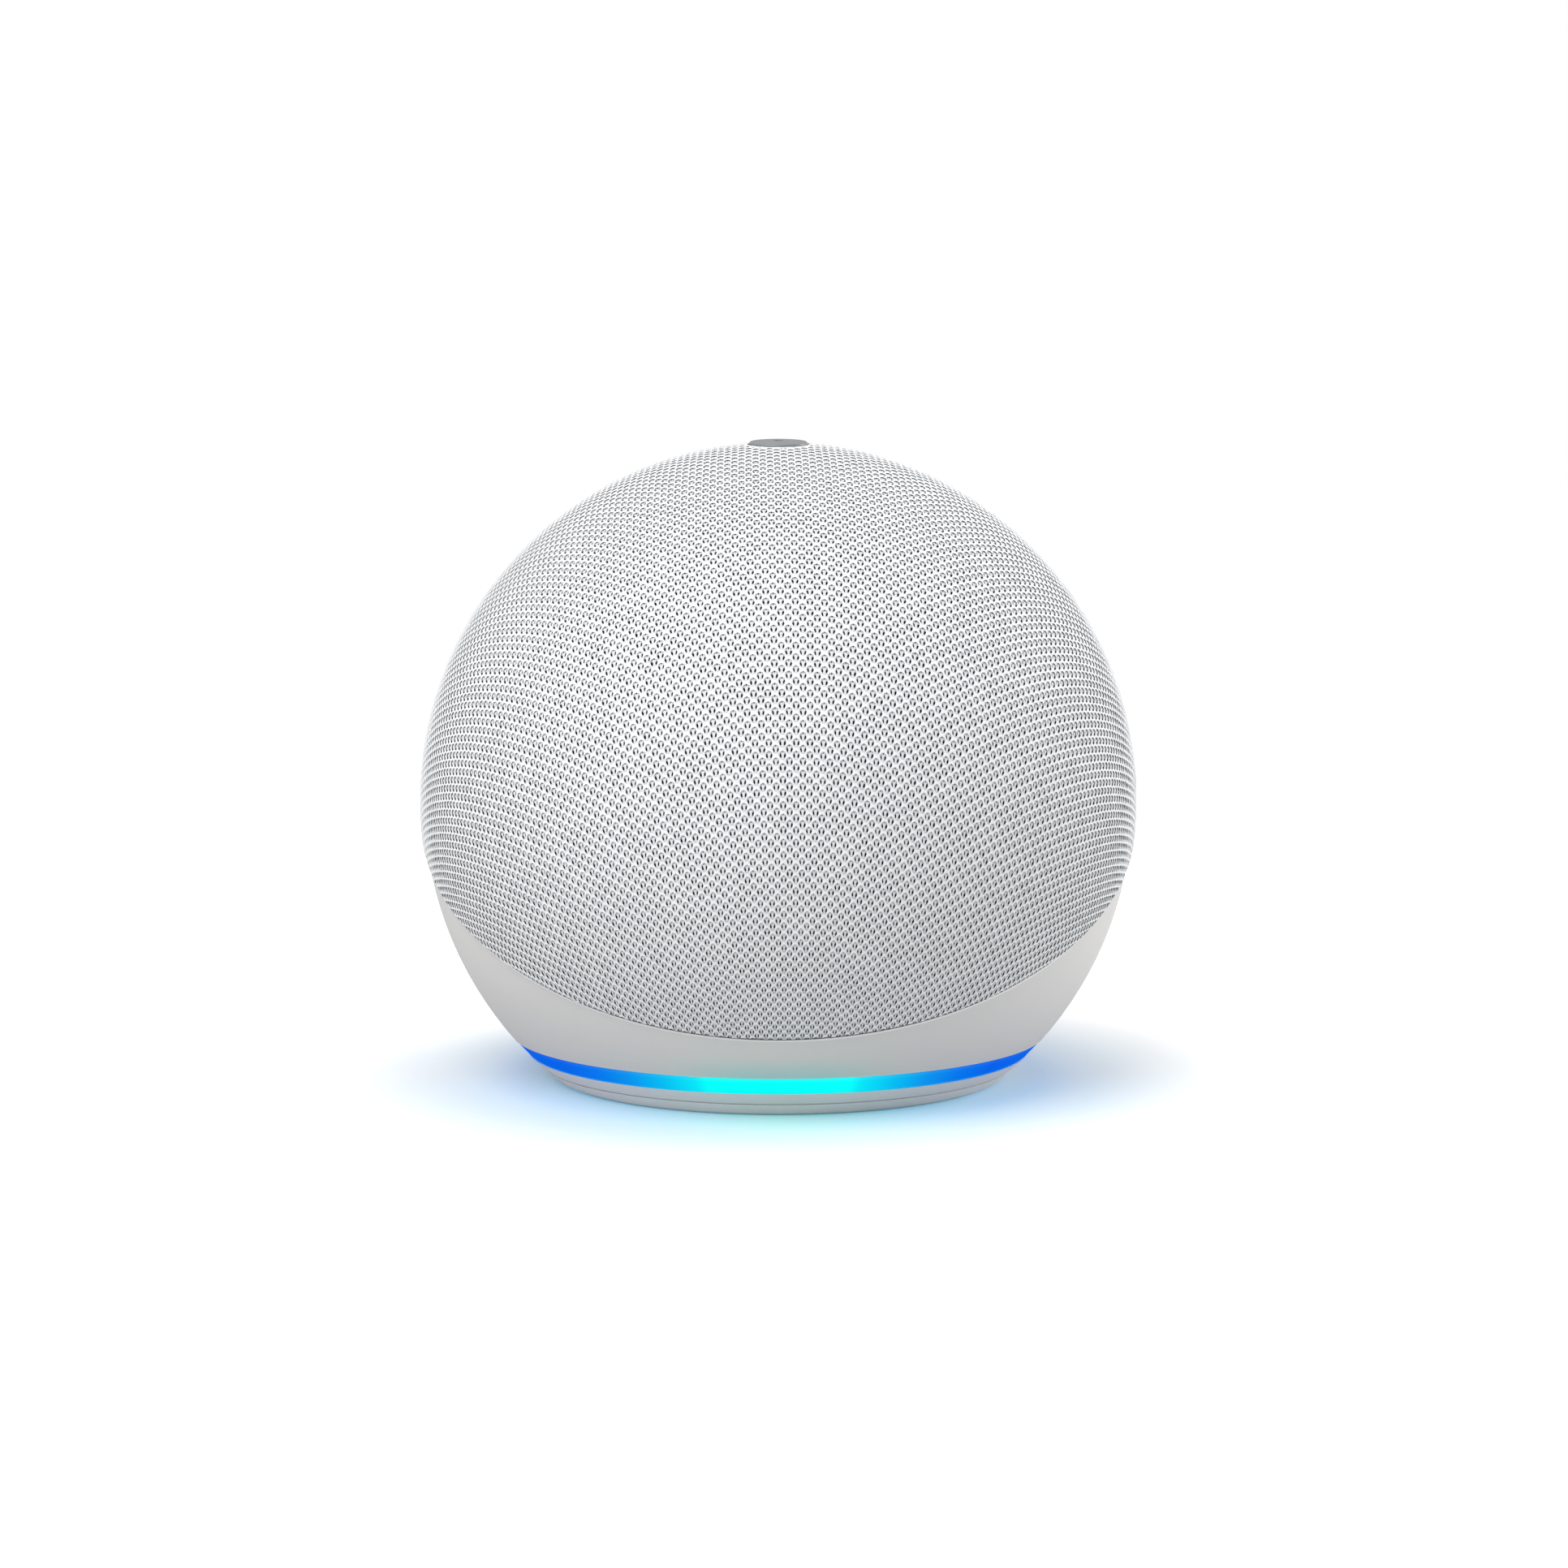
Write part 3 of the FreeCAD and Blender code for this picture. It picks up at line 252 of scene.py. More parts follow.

# ---------------------------------------------------------------------------------------------
# Lower bowl: the off-white plastic half of the ball, moulded with its bosses, posts and jack
# recess to a fine satin. Its rim has a painted highlight over painted shade in the seam gap, and
# the ring's glow is painted on its front.
# ---------------------------------------------------------------------------------------------
ball_centre = np.array((0.0, 0.0, 38.8))
dome_lean = math.radians(30.8)
crown_way = np.array((0.0, -math.sin(dome_lean), math.cos(dome_lean)))
# The rim's rounded edge gets a painted highlight, and the part up in the seam gap gets painted shade
painted_rim_highlight, painted_gap_shade = -1.95, -1.66  # where each starts, along the dome's axis from the ball's centre
# The ring's light on the bowl's front is painted: a cyan glow, strongest next to the ring
painted_glow_peak, painted_glow_colour = 0.72, (0.12, 0.72, 0.72)  # the ring's tint: its three fades start at this share


def vectors(material, operation, first, second=(0, 0, 0)):
    """One arithmetic step on two vectors, which gives a vector, or a number where it measures."""
    node = put(material, "VectorMath", {0: first, 1: second}, operation=operation)
    return node.outputs["Value" if operation in ("DOT_PRODUCT", "LENGTH", "DISTANCE") else "Vector"]


shell_plastic = finish(
    "shell_plastic", (0.72, 0.71, 0.70), (0.70, 0.69, 0.68), (0.40, 0.48), 30, 0.005, 0.14,
    Specular_IOR_Level=0.45,
)
seat = axes_of(shell_plastic, place_of(shell_plastic))
# Painted ring glow: it fades away from the ring to the sides, upwards and towards the back
painted_glow_mask = 1.0
for reach, start, end in (
    (sums(shell_plastic, "ABSOLUTE", seat[0]), 4 * MM, 17 * MM),
    (seat[2], ring_top, ring_top + 3.8 * MM),
    (seat[1], -34 * MM, -26 * MM),
):
    fade = spread(shell_plastic, reach, start, end, painted_glow_peak, 0.0, "SMOOTHSTEP")
    painted_glow_mask = sums(shell_plastic, "MULTIPLY", painted_glow_mask, fade)
painted(shell_plastic, painted_glow_mask, painted_glow_colour)
along = vectors(shell_plastic, "DOT_PRODUCT", place_of(shell_plastic), tuple(crown_way))
# Painted highlight along the rim's edge, then painted shade in the seam gap above it
for start, tone in ((painted_rim_highlight, 0.92), (painted_gap_shade, 0.16)):
    above = sums(shell_plastic, "GREATER_THAN", along, (ball_centre @ crown_way + start) * MM)
    painted(shell_plastic, above, (tone, tone, tone))
dress(shell_plastic, "lower_bowl")

# ---------------------------------------------------------------------------------------------
# Main board and what is soldered to it: green laminate with the processor in black epoxy, its
# silicone pad and aluminium heat sink, a tin shield underneath, and the lead and ribbon sockets.
# ---------------------------------------------------------------------------------------------
board_laminate = finish(
    "board_laminate", (0.012, 0.085, 0.045), (0.008, 0.065, 0.035), (0.26, 0.38), 20, 0.004, 0.3
)
routed(board_laminate, 1.1, 0.34, (0.025, 0.15, 0.075))
chip_epoxy = finish("chip_epoxy", (0.022, 0.022, 0.024), (0.016, 0.016, 0.018), (0.48, 0.66), 4, 0.01, 0.12)
thermal_silicone = finish(
    "thermal_silicone", (0.40, 0.47, 0.52), (0.33, 0.40, 0.46), (0.6, 0.8), 3, 0.03, 0.5
)
sink_aluminium = finish(
    "sink_aluminium", (0.74, 0.75, 0.76), (0.62, 0.63, 0.64), (0.30, 0.48), 10, 0.012, 0.3,
    (0.15, 1, 1), Metallic=1.0,
)
shield_tinplate = finish(
    "shield_tinplate", (0.70, 0.69, 0.66), (0.58, 0.57, 0.55), (0.20, 0.34), 7, 0.006, 0.5,
    (1, 0.12, 1), Metallic=1.0,
)
dress(board_laminate, "main_board", "button_board")
dress(chip_epoxy, "processor_chip")
dress(thermal_silicone, "thermal_pad")
dress(sink_aluminium, "heat_sink")
dress(shield_tinplate, "shield_can")
dress(connector_plastic, "lead_socket", "ribbon_socket", "ribbon_plug")

# ---------------------------------------------------------------------------------------------
# Jacks: black moulded sockets for sound and power, soldered to the main board's back tab, with
# their noses in the bowl's recess. The power jack has a turned brass pin.
# ---------------------------------------------------------------------------------------------
pin_brass = finish(
    "pin_brass", (0.80, 0.58, 0.26), (0.70, 0.48, 0.20), (0.18, 0.32), 1.5, 0.008, 0.15,
    (1, 0.1, 1), Metallic=1.0,
)
dress(connector_plastic, "audio_jack", "power_jack")
dress(pin_brass, "power_jack_pin")

# ---------------------------------------------------------------------------------------------
# Loudspeaker box: two halves of black glass-filled plastic that close round the driver, standing
# on soft rubber washers, with a rubber grommet where the leads come out.
# ---------------------------------------------------------------------------------------------
box_plastic = finish(
    "box_plastic", (0.050, 0.050, 0.054), (0.036, 0.036, 0.040), (0.50, 0.66), 16, 0.02, 0.35
)
soft_rubber = finish(
    "soft_rubber", (0.030, 0.030, 0.032), (0.022, 0.022, 0.024), (0.55, 0.75), 5, 0.015, 0.25
)
dress(box_plastic, "box_front", "box_rear")
dress(soft_rubber, "isolation_washers", "lead_grommet", "driver_gasket", "driver_surround")

# ---------------------------------------------------------------------------------------------
# Driver: a stamped steel basket with a ferrite magnet between steel plates, and a paper cone on
# a rubber surround and a corrugated cloth spider, driven by a copper coil on a foil former.
# ---------------------------------------------------------------------------------------------
driver_tilt = math.radians(15.0)


def from_centre(material):
    """A point's place, measured from the ball's centre."""
    wires = {"Vector": place_of(material), "Location": tuple(-ball_centre * MM)}
    return put(material, "Mapping", wires).outputs[0]


def leant(material, place, lean):
    """A place in a frame that is turned about the x axis by lean radians."""
    return put(material, "Mapping", {"Vector": place, "Rotation": (lean, 0, 0)}).outputs[0]


def driver_place(material):
    """A point's place in the driver's own frame: z runs out along the cone's axis."""
    return leant(material, from_centre(material), driver_tilt - math.radians(90.0))


def rippled(material, run, pitch, depth):
    """A sine wave of the given pitch along run, as relief."""
    wave = sums(material, "SINE", sums(material, "MULTIPLY", run, 2 * math.pi / (pitch * MM)))
    embossed(material, wave, depth)
    return wave


def flattened(material, place):
    """A place with its z left out."""
    return vectors(material, "MULTIPLY", place, (1, 1, 0))


def from_axis(material, place):
    """How far a point is from the axis of its own frame."""
    return vectors(material, "LENGTH", flattened(material, place))


basket_steel = finish(
    "basket_steel", (0.060, 0.062, 0.066), (0.045, 0.046, 0.050), (0.34, 0.50), 9, 0.012, 0.3, Metallic=0.2
)
plate_steel = finish(
    "plate_steel", (0.55, 0.56, 0.58), (0.42, 0.43, 0.45), (0.28, 0.44), 5, 0.01, 0.25, Metallic=1.0
)
magnet_ferrite = finish(
    "magnet_ferrite", (0.050, 0.048, 0.047), (0.034, 0.033, 0.032), (0.55, 0.75), 4, 0.03, 0.4
)
cone_paper = finish("cone_paper", (0.070, 0.070, 0.074), (0.040, 0.040, 0.043), (0.75, 0.92), 6, 0.03, 0.4)
fibres = cloudy(cone_paper, driver_place(cone_paper), 0.9, 6.0, 0.55, 0.72)
painted(cone_paper, fibres, (0.13, 0.13, 0.13))
rippled(cone_paper, from_axis(cone_paper, driver_place(cone_paper)), 1.9, 0.02)
spider_cloth = finish("spider_cloth", (0.52, 0.36, 0.17), (0.42, 0.28, 0.12), (0.8, 0.95), 5, 0.02, 0.3)
rippled(spider_cloth, from_axis(spider_cloth, driver_place(spider_cloth)), 1.6, 0.16)
former_foil = finish(
    "former_foil", (0.74, 0.75, 0.77), (0.66, 0.67, 0.69), (0.16, 0.28), 3, 0.006, 0.3, Metallic=1.0
)
coil_copper = finish(
    "coil_copper", (0.80, 0.36, 0.20), (0.66, 0.26, 0.13), (0.22, 0.36), 2, 0.004, 0.1, Metallic=1.0
)
wire = rippled(coil_copper, axes_of(coil_copper, driver_place(coil_copper))[2], 0.22, 0.05)
# Painted shade in the grooves between the turns of wire
painted(coil_copper, sums(coil_copper, "LESS_THAN", wire, -0.6), (0.20, 0.07, 0.03))
dress(basket_steel, "driver_basket")
dress(plate_steel, "driver_top_plate", "driver_yoke")
dress(magnet_ferrite, "driver_magnet")
dress(cone_paper, "driver_cone", "driver_dust_cap")
dress(spider_cloth, "driver_spider")
dress(former_foil, "voice_coil_former")
dress(coil_copper, "voice_coil_winding")
dress(connector_plastic, "driver_terminals")

# ---------------------------------------------------------------------------------------------
# Loudspeaker leads: a pair of PVC-covered stranded wires, soldered to the driver's terminals and
# led through the box's grommet to a socket on the main board.
# ---------------------------------------------------------------------------------------------
lead_insulation = finish(
    "lead_insulation", (0.36, 0.020, 0.016), (0.28, 0.014, 0.012), (0.34, 0.48), 5, 0.008, 0.3,
    Coat_Weight=0.15,
)
dress(lead_insulation, "speaker_leads")

# ---------------------------------------------------------------------------------------------
# Grille dome: the plastic dome under the fabric, moulded with rings of holes in front of the
# driver and four button openings. The fabric hides it, so its skin is plain and matt.
# ---------------------------------------------------------------------------------------------
grille_plastic = finish("grille_plastic", (0.30, 0.30, 0.31), (0.26, 0.26, 0.27), (0.55, 0.68), 22, 0.01, 0.3)
dress(grille_plastic, "grille_dome")

# ---------------------------------------------------------------------------------------------
# Button board: four press switches and four microphones on green laminate, screwed up under the
# dome, with a flat printed ribbon that runs down the left side to the main board.
# ---------------------------------------------------------------------------------------------
conductor_pitch = 0.8
switch_body = finish("switch_body", (0.10, 0.10, 0.11), (0.07, 0.07, 0.075), (0.30, 0.46), 3, 0.008, 0.2)
plunger_plastic = finish(
    "plunger_plastic", (0.62, 0.60, 0.55), (0.56, 0.54, 0.50), (0.36, 0.5), 1.5, 0.006, 0.15
)
ribbon_film = finish("ribbon_film", (0.62, 0.33, 0.08), (0.55, 0.28, 0.06), (0.22, 0.34), 9, 0.004, 0.3)
across = axes_of(ribbon_film, place_of(ribbon_film))[1]
conductor = sums(ribbon_film, "FRACT", sums(ribbon_film, "DIVIDE", across, conductor_pitch * MM))
conductor = sums(ribbon_film, "LESS_THAN", conductor, 0.5)
painted(ribbon_film, conductor, (0.72, 0.40, 0.16))
embossed(ribbon_film, conductor, 0.02)
dress(switch_body, "tact_switches")
dress(shield_tinplate, "microphones")
dress(ribbon_film, "ribbon_cable")
dress(plunger_plastic, "volume_up_plunger", "mic_off_plunger", "volume_down_plunger", "action_plunger")

# ---------------------------------------------------------------------------------------------
# Buttons: four round caps of slate-grey plastic, three flush with the fabric and the front one
# a little proud of it, each with its sign sunk into the top and filled with pale ink.
# ---------------------------------------------------------------------------------------------
button_lean = math.radians(6.4)
button_circle, sign_reach = 10.0, 2.7
front_raise, front_start = 0.3, -5.0  # the front cap's extra height, and the y below which a cap is it
inked = 49.93  # a flush cap's sign lies nearer than this to the ball's centre
button_plastic = finish(
    "button_plastic", (0.235, 0.24, 0.25), (0.205, 0.21, 0.22), (0.36, 0.48), 6, 0.006, 0.14
)
centred = from_centre(button_plastic)
folded = vectors(button_plastic, "ABSOLUTE", leant(button_plastic, centred, button_lean))
nearest = sums(button_plastic, "MINIMUM", *(
    vectors(button_plastic, "DISTANCE", flattened(button_plastic, folded), middle)
    for middle in ((button_circle * MM, 0, 0), (0, button_circle * MM, 0))
))
inside = sums(button_plastic, "LESS_THAN", nearest, sign_reach * MM)
ahead = sums(button_plastic, "LESS_THAN", axes_of(button_plastic, centred)[1], front_start * MM)
proud = sums(button_plastic, "MULTIPLY", ahead, front_raise * MM)
height = sums(button_plastic, "SUBTRACT", vectors(button_plastic, "LENGTH", centred), proud)
sunk = sums(button_plastic, "LESS_THAN", height, inked * MM)
painted(button_plastic, sums(button_plastic, "MULTIPLY", inside, sunk), (0.80, 0.81, 0.82))
dress(button_plastic, "volume_up_button", "mic_off_button", "volume_down_button", "action_button")

# ---------------------------------------------------------------------------------------------
# Fabric cover: a warp-knitted mesh of cool white polyester yarn, heat-formed over the dome and
# bonded at its edge. Ribs of yarn close round oval holes, each with a looser loop lying in it.
# ---------------------------------------------------------------------------------------------
skin = 50.0  # outside of the ribs
backing_skin = 49.45  # outside of the ground behind the holes
knit_turn = math.radians(0.87)  # how far the knit is turned about the crown
rim_offset = -1.2027  # the fabric's edge, along the dome's axis from the ball's centre
cell_wide, cell_tall = 1.942, 1.639
hole_wide, hole_tall, hole_taper = 0.235, 0.375, 0.14  # half sizes of a hole, in cells
opening = 4.25  # radius of a button's hole in the fabric
cell_reach = 104  # rows and columns of cells that are worked out each way
knit_reach = 86.0  # flat distance from the crown past which no cell can be on the cover
least_face = 1e-4  # area of a triangle that counts as squeezed to nothing

side_way = np.array((1.0, 0.0, 0.0))
back_way = np.array((0.0, math.cos(dome_lean), math.sin(dome_lean)))
button_back = np.array((0.0, math.cos(button_lean), -math.sin(button_lean)))
button_up = np.array((0.0, math.sin(button_lean), math.cos(button_lean)))
button_middles = button_circle * np.array(((1.0, 0.0), (0.0, 1.0), (-1.0, 0.0), (0.0, -1.0)))


def draped(across, along):
    """Places of the flat knit on the ball, as polar angles from the crown and unit directions
    round it. The knit's distance from the crown is 50 (a + 0.0083 a^3 + 0.0024 a^5) for the polar
    angle a, solved by Newton's steps."""
    flat_x = math.cos(knit_turn) * across + math.sin(knit_turn) * along
    flat_y = math.cos(knit_turn) * along - math.sin(knit_turn) * across
    far = np.maximum(np.hypot(flat_x, flat_y), 1e-9)
    polar = far / skin
    for _ in range(5):
        error = polar + 0.0083 * polar**3 + 0.0024 * polar**5 - far / skin
        polar = polar - error / (1 + 0.0249 * polar**2 + 0.012 * polar**4)
    return polar, flat_x / far, -flat_y / far


def trimmed(across, along, radius):
    """Points of the knit at a radius from the ball's centre, cut to the cover's edges: a point
    past the rim moves back to it, and a point in a button opening moves out to its circle. Also
    says which points moved."""
    polar, round_x, round_y = draped(across, along)
    rim = np.arccos(rim_offset / radius)
    past = polar > rim
    polar = np.minimum(polar, rim)
    sine = np.sin(polar)[..., None]
    way = sine * (round_x[..., None] * side_way + round_y[..., None] * back_way)
    way = way + np.cos(polar)[..., None] * crown_way
    seat = np.stack([way @ side_way, way @ button_back], axis=-1) * radius[..., None]
    for middle in button_middles:
        off = seat - middle
        far = np.linalg.norm(off, axis=-1)
        inside = (far < opening) & (way @ button_up > 0)
        moved = middle + off * (opening / np.maximum(far, 1e-6))[..., None]
        seat = np.where(inside[..., None], moved, seat)
        past = past | inside
        height = np.sqrt(np.maximum(radius**2 - (seat**2).sum(-1), 0.0))
        lifted = seat[..., :1] * side_way + seat[..., 1:] * button_back + height[..., None] * button_up
        way = np.where(inside[..., None], lifted / radius[..., None], way)
    return ball_centre + way * radius[..., None], past


def laid(name, points, faces, knit, deep):
    """A smooth-shaded mesh of triangles on points in millimetres, without the points that no
    triangle uses. knit gives each point's place in the fabric, for the UV map, and deep is 0 on the
    crest of a strand and 1 down at its edge, where the yarn's painted shade is darkest."""
    used, faces = np.unique(faces, return_inverse=True)
    faces = faces.reshape(-1, 3)
    mesh = bpy.data.meshes.new(name)
    mesh.vertices.add(len(used))
    mesh.vertices.foreach_set("co", (points[used] * MM).astype(np.float32).ravel())
    mesh.loops.add(faces.size)
    mesh.loops.foreach_set("vertex_index", faces.astype(np.int32).ravel())
    mesh.polygons.add(len(faces))
    mesh.polygons.foreach_set("loop_start", np.arange(0, faces.size, 3, dtype=np.int32))
    mesh.update(calc_edges=True)
    mesh.polygons.foreach_set("use_smooth", np.ones(len(faces), bool))
    layer = mesh.uv_layers.new(name="knit")
    layer.uv.foreach_set("vector", knit[used][faces.ravel()].astype(np.float32).ravel())
    shade = mesh.attributes.new("deep", "FLOAT", "POINT")
    shade.data.foreach_set("value", np.broadcast_to(deep, len(points))[used].astype(np.float32))
    mesh.validate()
    piece = bpy.data.objects.new(name, mesh)
    bpy.context.scene.collection.objects.link(piece)
    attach(piece, "housing")
    return piece


def kept(points, past, faces):
    """The faces that are on the cover: not all past its edges, and not squeezed to nothing."""
    a, b, c = (points[faces[:, k]] for k in range(3))
    area = np.linalg.norm(np.cross(b - a, c - a), axis=1) / 2
    return faces[~past[faces].all(axis=1) & (area > least_face)]


def in_cells(across, along):
    """Places in the flat knit, counted in cells across and along it."""
    return np.stack([across / cell_wide, along / cell_tall], axis=-1)


# The knit's layout: cells in rows half a cell high, every other row half a cell across, with a
# knot at each of a cell's four corners that wanders a little
rng = np.random.default_rng(11)
row, column = np.mgrid[-cell_reach : cell_reach + 1, -cell_reach // 2 : cell_reach // 2 + 1]
odd = row & 1
count_rows, count_columns = row.shape
wander = 0.012 * rng.standard_normal((2, count_rows, count_columns))
cell_x = (column + 0.5 * odd) * cell_wide
cell_y = row * cell_tall / 2
knot_x = cell_x + (0.5 + wander[0]) * cell_wide
knot_y = cell_y + wander[1] * cell_tall
knot_right = np.arange(row.size).reshape(row.shape)
knot_left = knot_right - 1
knot_above = knot_right - count_columns - 1 + odd
knot_below = knot_right + count_columns - 1 + odd
whole = (abs(row) < cell_reach - 1) & (abs(column) < cell_reach // 2 - 1)
whole &= np.hypot(cell_x, cell_y) < knit_reach

# The backing: the dense ground of the knit, behind the holes, near black as painted shade
corners = [k[whole] for k in (knot_right, knot_above, knot_left, knot_below)]
ground, past = trimmed(knot_x.ravel(), knot_y.ravel(), np.full(row.size, backing_skin))
faces = np.concatenate(
    [np.stack([corners[0], corners[1], corners[2]], 1), np.stack([corners[0], corners[2], corners[3]], 1)]
)
knot_uv = in_cells(knot_x.ravel(), knot_y.ravel())
knit_backing = laid("knit_backing", ground, kept(ground, past, faces), knot_uv, 1.0)

# The net: a knot at each corner of the cells, and eight points round each hole, lower at its sides
angle = np.arange(8) * math.pi / 4
swell = 1 + 0.03 * rng.standard_normal((int(whole.sum()), 1))
taper = 1 + hole_taper * np.sin(angle)
hole_x = cell_x[whole][:, None] + hole_wide * cell_wide * swell * taper * np.cos(angle)
hole_y = cell_y[whole][:, None] - hole_tall * cell_tall * swell * np.sin(angle)
hole_depth = np.broadcast_to(0.05 + 0.05 * np.cos(angle) ** 2, hole_x.shape)
net_x = np.concatenate([knot_x.ravel(), hole_x.ravel()])
net_y = np.concatenate([knot_y.ravel(), hole_y.ravel()])
net_radius = np.concatenate([np.full(row.size, skin), (skin - hole_depth).ravel()])
net, past = trimmed(net_x, net_y, net_radius)
first = row.size + 8 * np.arange(int(whole.sum()))
quarters = []
for k in range(4):
    here, there = corners[k], corners[(k + 1) % 4]
    edge_a, edge_b, edge_c = first + 2 * k, first + 2 * k + 1, first + (2 * k + 2) % 8
    quarters += [(here, edge_b, edge_a), (here, there, edge_b), (there, edge_c, edge_b)]
faces = np.concatenate([np.stack(q, 1) for q in quarters])
net_deep = np.repeat((0.0, 1.0), (row.size, hole_x.size))
knit_net = laid("knit_net", net, kept(net, past, faces), in_cells(net_x, net_y), net_deep)

# The loops: in each hole a wide leaf of yarn, tucked under the ribs but for a notch at its top and
# a slit each side. Every other row is drawn a little lower. Half of the leaf's outline, from the
# notch down its side, is given in cells with its height over the ground; the ridge runs down its middle.
leaf_side = np.array((
    (0.055, -0.42, 0.37), (0.20, -0.31, 0.36), (0.275, -0.15, 0.34), (0.13, -0.16, 0.37),
    (0.08, 0.05, 0.38), (0.095, 0.16, 0.37), (0.255, 0.17, 0.34), (0.16, 0.40, 0.35),
))
leaf_middle = np.array((
    (0.0, -0.225, 0.35), (0.0, -0.10, 0.43), (0.0, 0.08, 0.45), (0.0, 0.26, 0.43), (0.0, 0.45, 0.35),
))
leaf_faces = np.array((  # middle points are 0 to 4, side points 5 to 12
    (0, 5, 6), (0, 6, 8), (6, 7, 8), (0, 8, 1), (1, 8, 9), (1, 9, 2), (2, 9, 10), (2, 10, 3),
    (10, 11, 12), (3, 10, 12), (3, 12, 4),
))
mirrored = np.where(leaf_faces > 4, leaf_faces + 8, leaf_faces)
leaf_faces = np.concatenate([leaf_faces[:, ::-1], mirrored])
leaf = np.concatenate([leaf_middle, leaf_side, leaf_side * (-1, 1, 1)])
knit_loops = []
for lower, name in ((0, "knit_loops_even"), (1, "knit_loops_odd")):
    chosen = whole & (odd == lower)
    lean = 0.02 * rng.standard_normal((int(chosen.sum()), 1))
    leaf_x, leaf_y = leaf[:, 0] + 0.012 * (1 - lower) * (leaf[:, 1] < -0.2), leaf[:, 1] + 0.03 * lower
    loop_x = cell_x[chosen][:, None] + (leaf_x + lean * leaf_y) * cell_wide
    loop_y = cell_y[chosen][:, None] + (leaf_y + 0.3 * lean) * cell_tall
    loop_radius = np.broadcast_to(backing_skin + leaf[:, 2], loop_x.shape)
    loops, past = trimmed(loop_x.ravel(), loop_y.ravel(), loop_radius.ravel())
    clear = ~past.reshape(-1, len(leaf)).all(axis=1)
    first = len(leaf) * np.arange(len(clear))[clear]
    faces = kept(loops, past, (first[:, None, None] + leaf_faces).reshape(-1, 3))
    leaf_deep = np.tile(np.repeat((0.0, 1.0), (len(leaf_middle), 2 * len(leaf_side))), len(clear))
    knit_loops.append(laid(name, loops, faces, in_cells(loop_x.ravel(), loop_y.ravel()), leaf_deep))


def banded(name, grid, deep):
    """A closed band: a grid of points whose first way runs once round."""
    count, width, _ = grid.shape
    here = np.arange(count)[:, None] * width + np.arange(width - 1)
    there = (np.arange(count)[:, None] + 1) % count * width + np.arange(width - 1)
    faces = np.concatenate(
        [np.stack(t, -1).reshape(-1, 3) for t in ((here, there, there + 1), (here, there + 1, here + 1))]
    )
    return laid(name, grid.reshape(-1, 3), faces, np.zeros((count * width, 2)), deep)


# The hems: the cloth's edge turned in, round the rim and round each button opening
round_rim = np.linspace(0, 2 * math.pi, 360, endpoint=False)[:, None, None]
hem_radius = np.array((49.93, 49.8, 49.5, 49.1))[:, None]
hem_polar = np.arccos(rim_offset / hem_radius)
rim_way = np.cos(round_rim) * side_way + np.sin(round_rim) * back_way
hem = ball_centre + hem_radius * (np.sin(hem_polar) * rim_way + np.cos(hem_polar) * crown_way)
rim_hem = banded("knit_hem_rim", hem, 1.0)
button_hems = []
round_hole = np.linspace(0, 2 * math.pi, 72, endpoint=False)[:, None]
hem_out = opening + np.array((0.30, 0.22, 0.13, 0.05, 0.0, 0.0))
hem_skin = skin + np.array((-0.16, -0.05, 0.0, -0.04, -0.2, -0.95))
for name, middle in zip(("volume_up", "mic_off", "volume_down", "action"), button_middles):
    seat_x = middle[0] + hem_out * np.cos(round_hole)
    seat_y = middle[1] + hem_out * np.sin(round_hole)
    seat_z = np.sqrt(hem_skin**2 - seat_x**2 - seat_y**2)
    hem = seat_x[..., None] * side_way + seat_y[..., None] * button_back + seat_z[..., None] * button_up
    button_hems.append(banded(f"knit_hem_{name}", (ball_centre + hem)[::-1], 0.3))


def yarn(name, light, dark, edge, steepness):
    """Polyester yarn: filaments lie along the ribs as fine streaks, and painted shade takes the colour
    down to edge towards the sides of a strand, in a band that is narrower the greater steepness is."""
    material = finish(
        name, light, dark, (0.72, 0.86), 14, 0.02, 0.22,
        Sheen_Weight=0.15, Sheen_Roughness=0.5, Specular_IOR_Level=0.2,
    )
    cloth = put(material, "UVMap", uv_map="knit").outputs[0]
    streaks = put(material, "Mapping", {"Vector": cloth, "Scale": (9, 2.2, 1)}).outputs[0]
    streak = put(material, "TexNoise", {"Vector": streaks, "Scale": 1.0, "Detail": 3.0}).outputs[0]
    embossed(material, streak, 0.02)
    painted(material, sums(material, "MULTIPLY", streak, 0.12), (0.62, 0.64, 0.67))
    # Painted shade: darker towards the sides of each strand, where deep is near 1
    deep = put(material, "Attribute", attribute_name="deep").outputs["Fac"]
    painted(material, sums(material, "POWER", deep, steepness), edge)
    return material


rib_yarn = yarn("knit_rib", (0.90, 0.905, 0.915), (0.88, 0.885, 0.895), (0.70, 0.71, 0.73), 3.0)
# The loops are the ribs' yarn painted darker: painted shade for loops that lie below the ribs
shaded_loop_yarn = yarn("knit_loop", (0.75, 0.76, 0.775), (0.73, 0.74, 0.755), (0.63, 0.64, 0.66), 3.0)
# The ground's near-black is painted shade: the dark seen through the holes
painted_shade_ground = yarn("knit_ground_painted_shade", (0.03, 0.035, 0.042), (0.024, 0.03, 0.036), (0.027, 0.032, 0.038), 1.0)
# The rim hem's dark grey is painted shade in the seam gap
seam_shade_hem_yarn = yarn("knit_seam_shade", (0.17, 0.175, 0.185), (0.14, 0.145, 0.155), (0.13, 0.135, 0.145), 1.0)
for material, pieces in (
    (rib_yarn, [knit_net, *button_hems]),
    (shaded_loop_yarn, knit_loops),
    (painted_shade_ground, [knit_backing]),
    (seam_shade_hem_yarn, [rim_hem]),
):
    for piece in pieces:
        piece.data.materials.append(material)

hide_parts("fabric_cover")

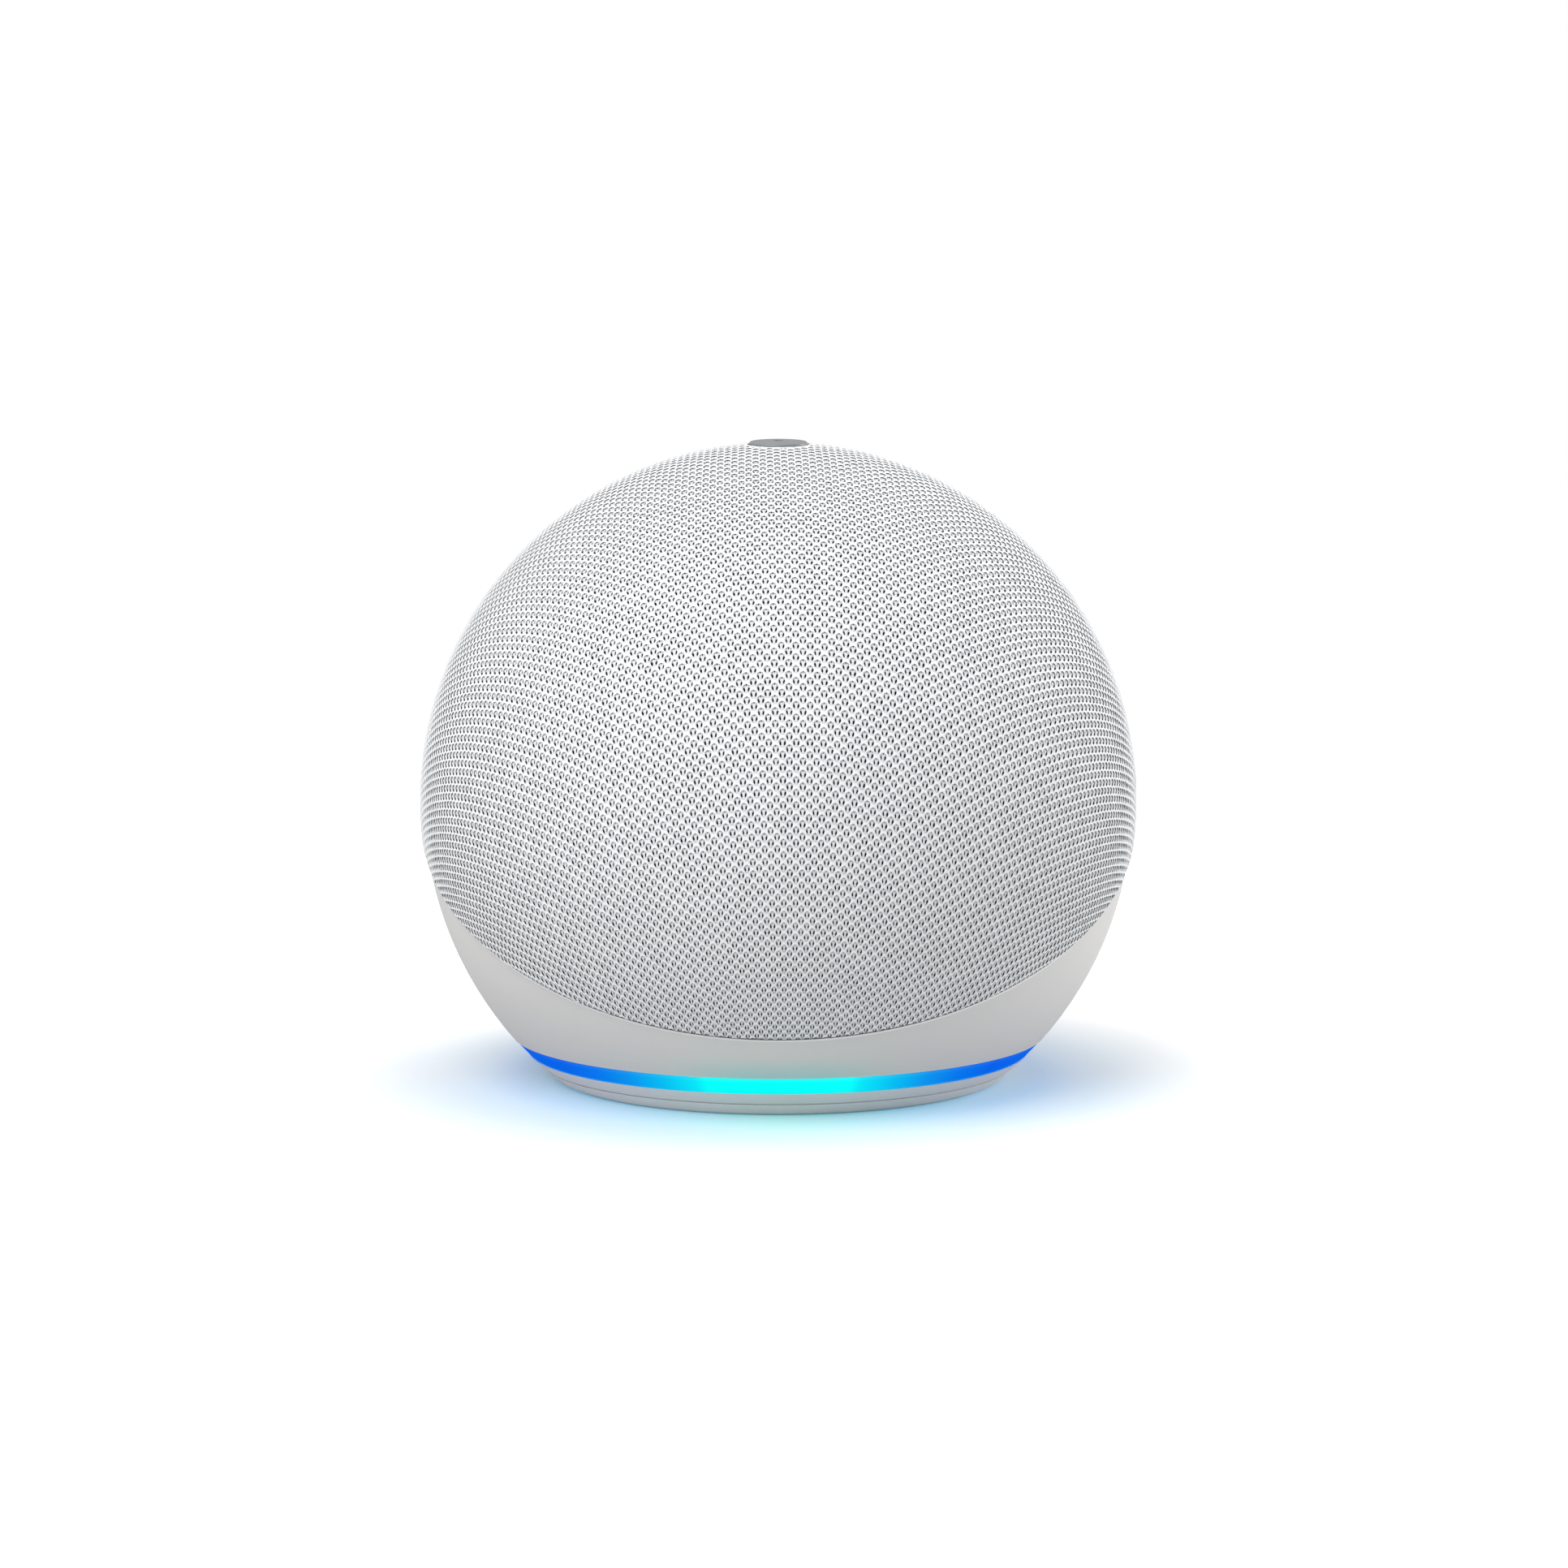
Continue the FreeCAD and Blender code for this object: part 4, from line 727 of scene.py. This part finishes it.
# ---------------------------------------------------------------------------------------------
# Table, room, lamps and camera: a pale matt table in an even bright room, with a broad lamp above
# on the left and a weaker one on the right. The table's glow is painted light: it stands in for the
# ring's light on it, and its white grows away from the base, so the shade round the base is partly painted.
# ---------------------------------------------------------------------------------------------
table_glow = (  # share of the half turn from the front, colour of the light there
    (0.00, (0, 0.83, 0.86)),
    (0.17, (0, 0.62, 1)),
    (0.32, (0, 0.48, 0.92)),
    (0.50, (0, 0.26, 0.5)),
)
scene = bpy.context.scene
scene.view_settings.view_transform = "Standard"
bpy.ops.mesh.primitive_plane_add(size=8.0)  # metres
table = bpy.context.object
table.name = "table"


def to_camera(material, low):
    """1 for what the camera sees by itself, and low for light on its way to other pieces."""
    direct = put(material, "LightPath").outputs["Is Camera Ray"]
    return spread(material, direct, 0.0, 1.0, low, 1.0)


table_top = finish(
    "table_top", (0.50, 0.50, 0.50), (0.49, 0.49, 0.49), (0.85, 0.95), 160, 0.004, 1.0,
    Specular_IOR_Level=0.0,
)
far = from_axis(table_top, place_of(table_top))
# Painted light on the table: white that grows away from the base, so the shade round it is partly painted,
# and the ring's coloured light fading outwards
near_light, far_light, thrown = (
    spread(table_top, far, start * MM, end * MM, low, high, "SMOOTHSTEP")
    for start, end, low, high in ((28, 56, 0.08, 0.32), (44, 86, 0.0, 0.58), (30, 75, 0.36, 0.0))
)
white = sums(table_top, "ADD", near_light, far_light)
plain = put(table_top, "CombineXYZ", {0: white, 1: white, 2: white}).outputs[0]
glow = read_off(table_top, round_from_front(table_top), table_glow)
glow = put(table_top, "VectorMath", {0: glow, "Scale": thrown}, operation="SCALE").outputs[0]
glow = vectors(table_top, "ADD", plain, glow)
wired(table_top, Emission_Color=glow, Emission_Strength=to_camera(table_top, 0.2))
table.data.materials.append(table_top)

room = bpy.data.worlds.new("room")
scene.world = room
room.use_nodes = True
walls = room.node_tree.nodes["Background"]
walls.inputs["Color"].default_value = (1.0, 1.0, 1.0, 1)
room.node_tree.links.new(to_camera(room, 0.62), walls.inputs["Strength"])

middle = Vector(ball_centre * MM)
for name, place, power, size in (  # places and sizes in metres
    ("key", (-0.48, -0.68, 1.00), 12.0, 1.0),
    ("side", (1.00, 0.42, 0.32), 7.4, 0.8),
):
    light = bpy.data.lights.new(name, "AREA")
    light.shape, light.size, light.energy = "DISK", size, power
    lamp = bpy.data.objects.new(name, light)
    lamp.location = place
    lamp.rotation_euler = (middle - lamp.location).to_track_quat("-Z", "Y").to_euler()
    lamp.visible_camera = False
    scene.collection.objects.link(lamp)

distance, height_angle = 0.5, math.radians(6.2)  # metres
camera = bpy.data.objects.new("camera", bpy.data.cameras.new("camera"))
scene.collection.objects.link(camera)
camera.location = middle + distance * Vector((0, -math.cos(height_angle), math.sin(height_angle)))
camera.rotation_euler = (middle - camera.location).to_track_quat("-Z", "Y").to_euler()
camera.data.sensor_width = 36.0
camera.data.lens = 81.9
camera.data.shift_x, camera.data.shift_y = 0.0036, 0.0098
camera.data.clip_start, camera.data.clip_end = 0.02, 50.0
scene.camera = camera
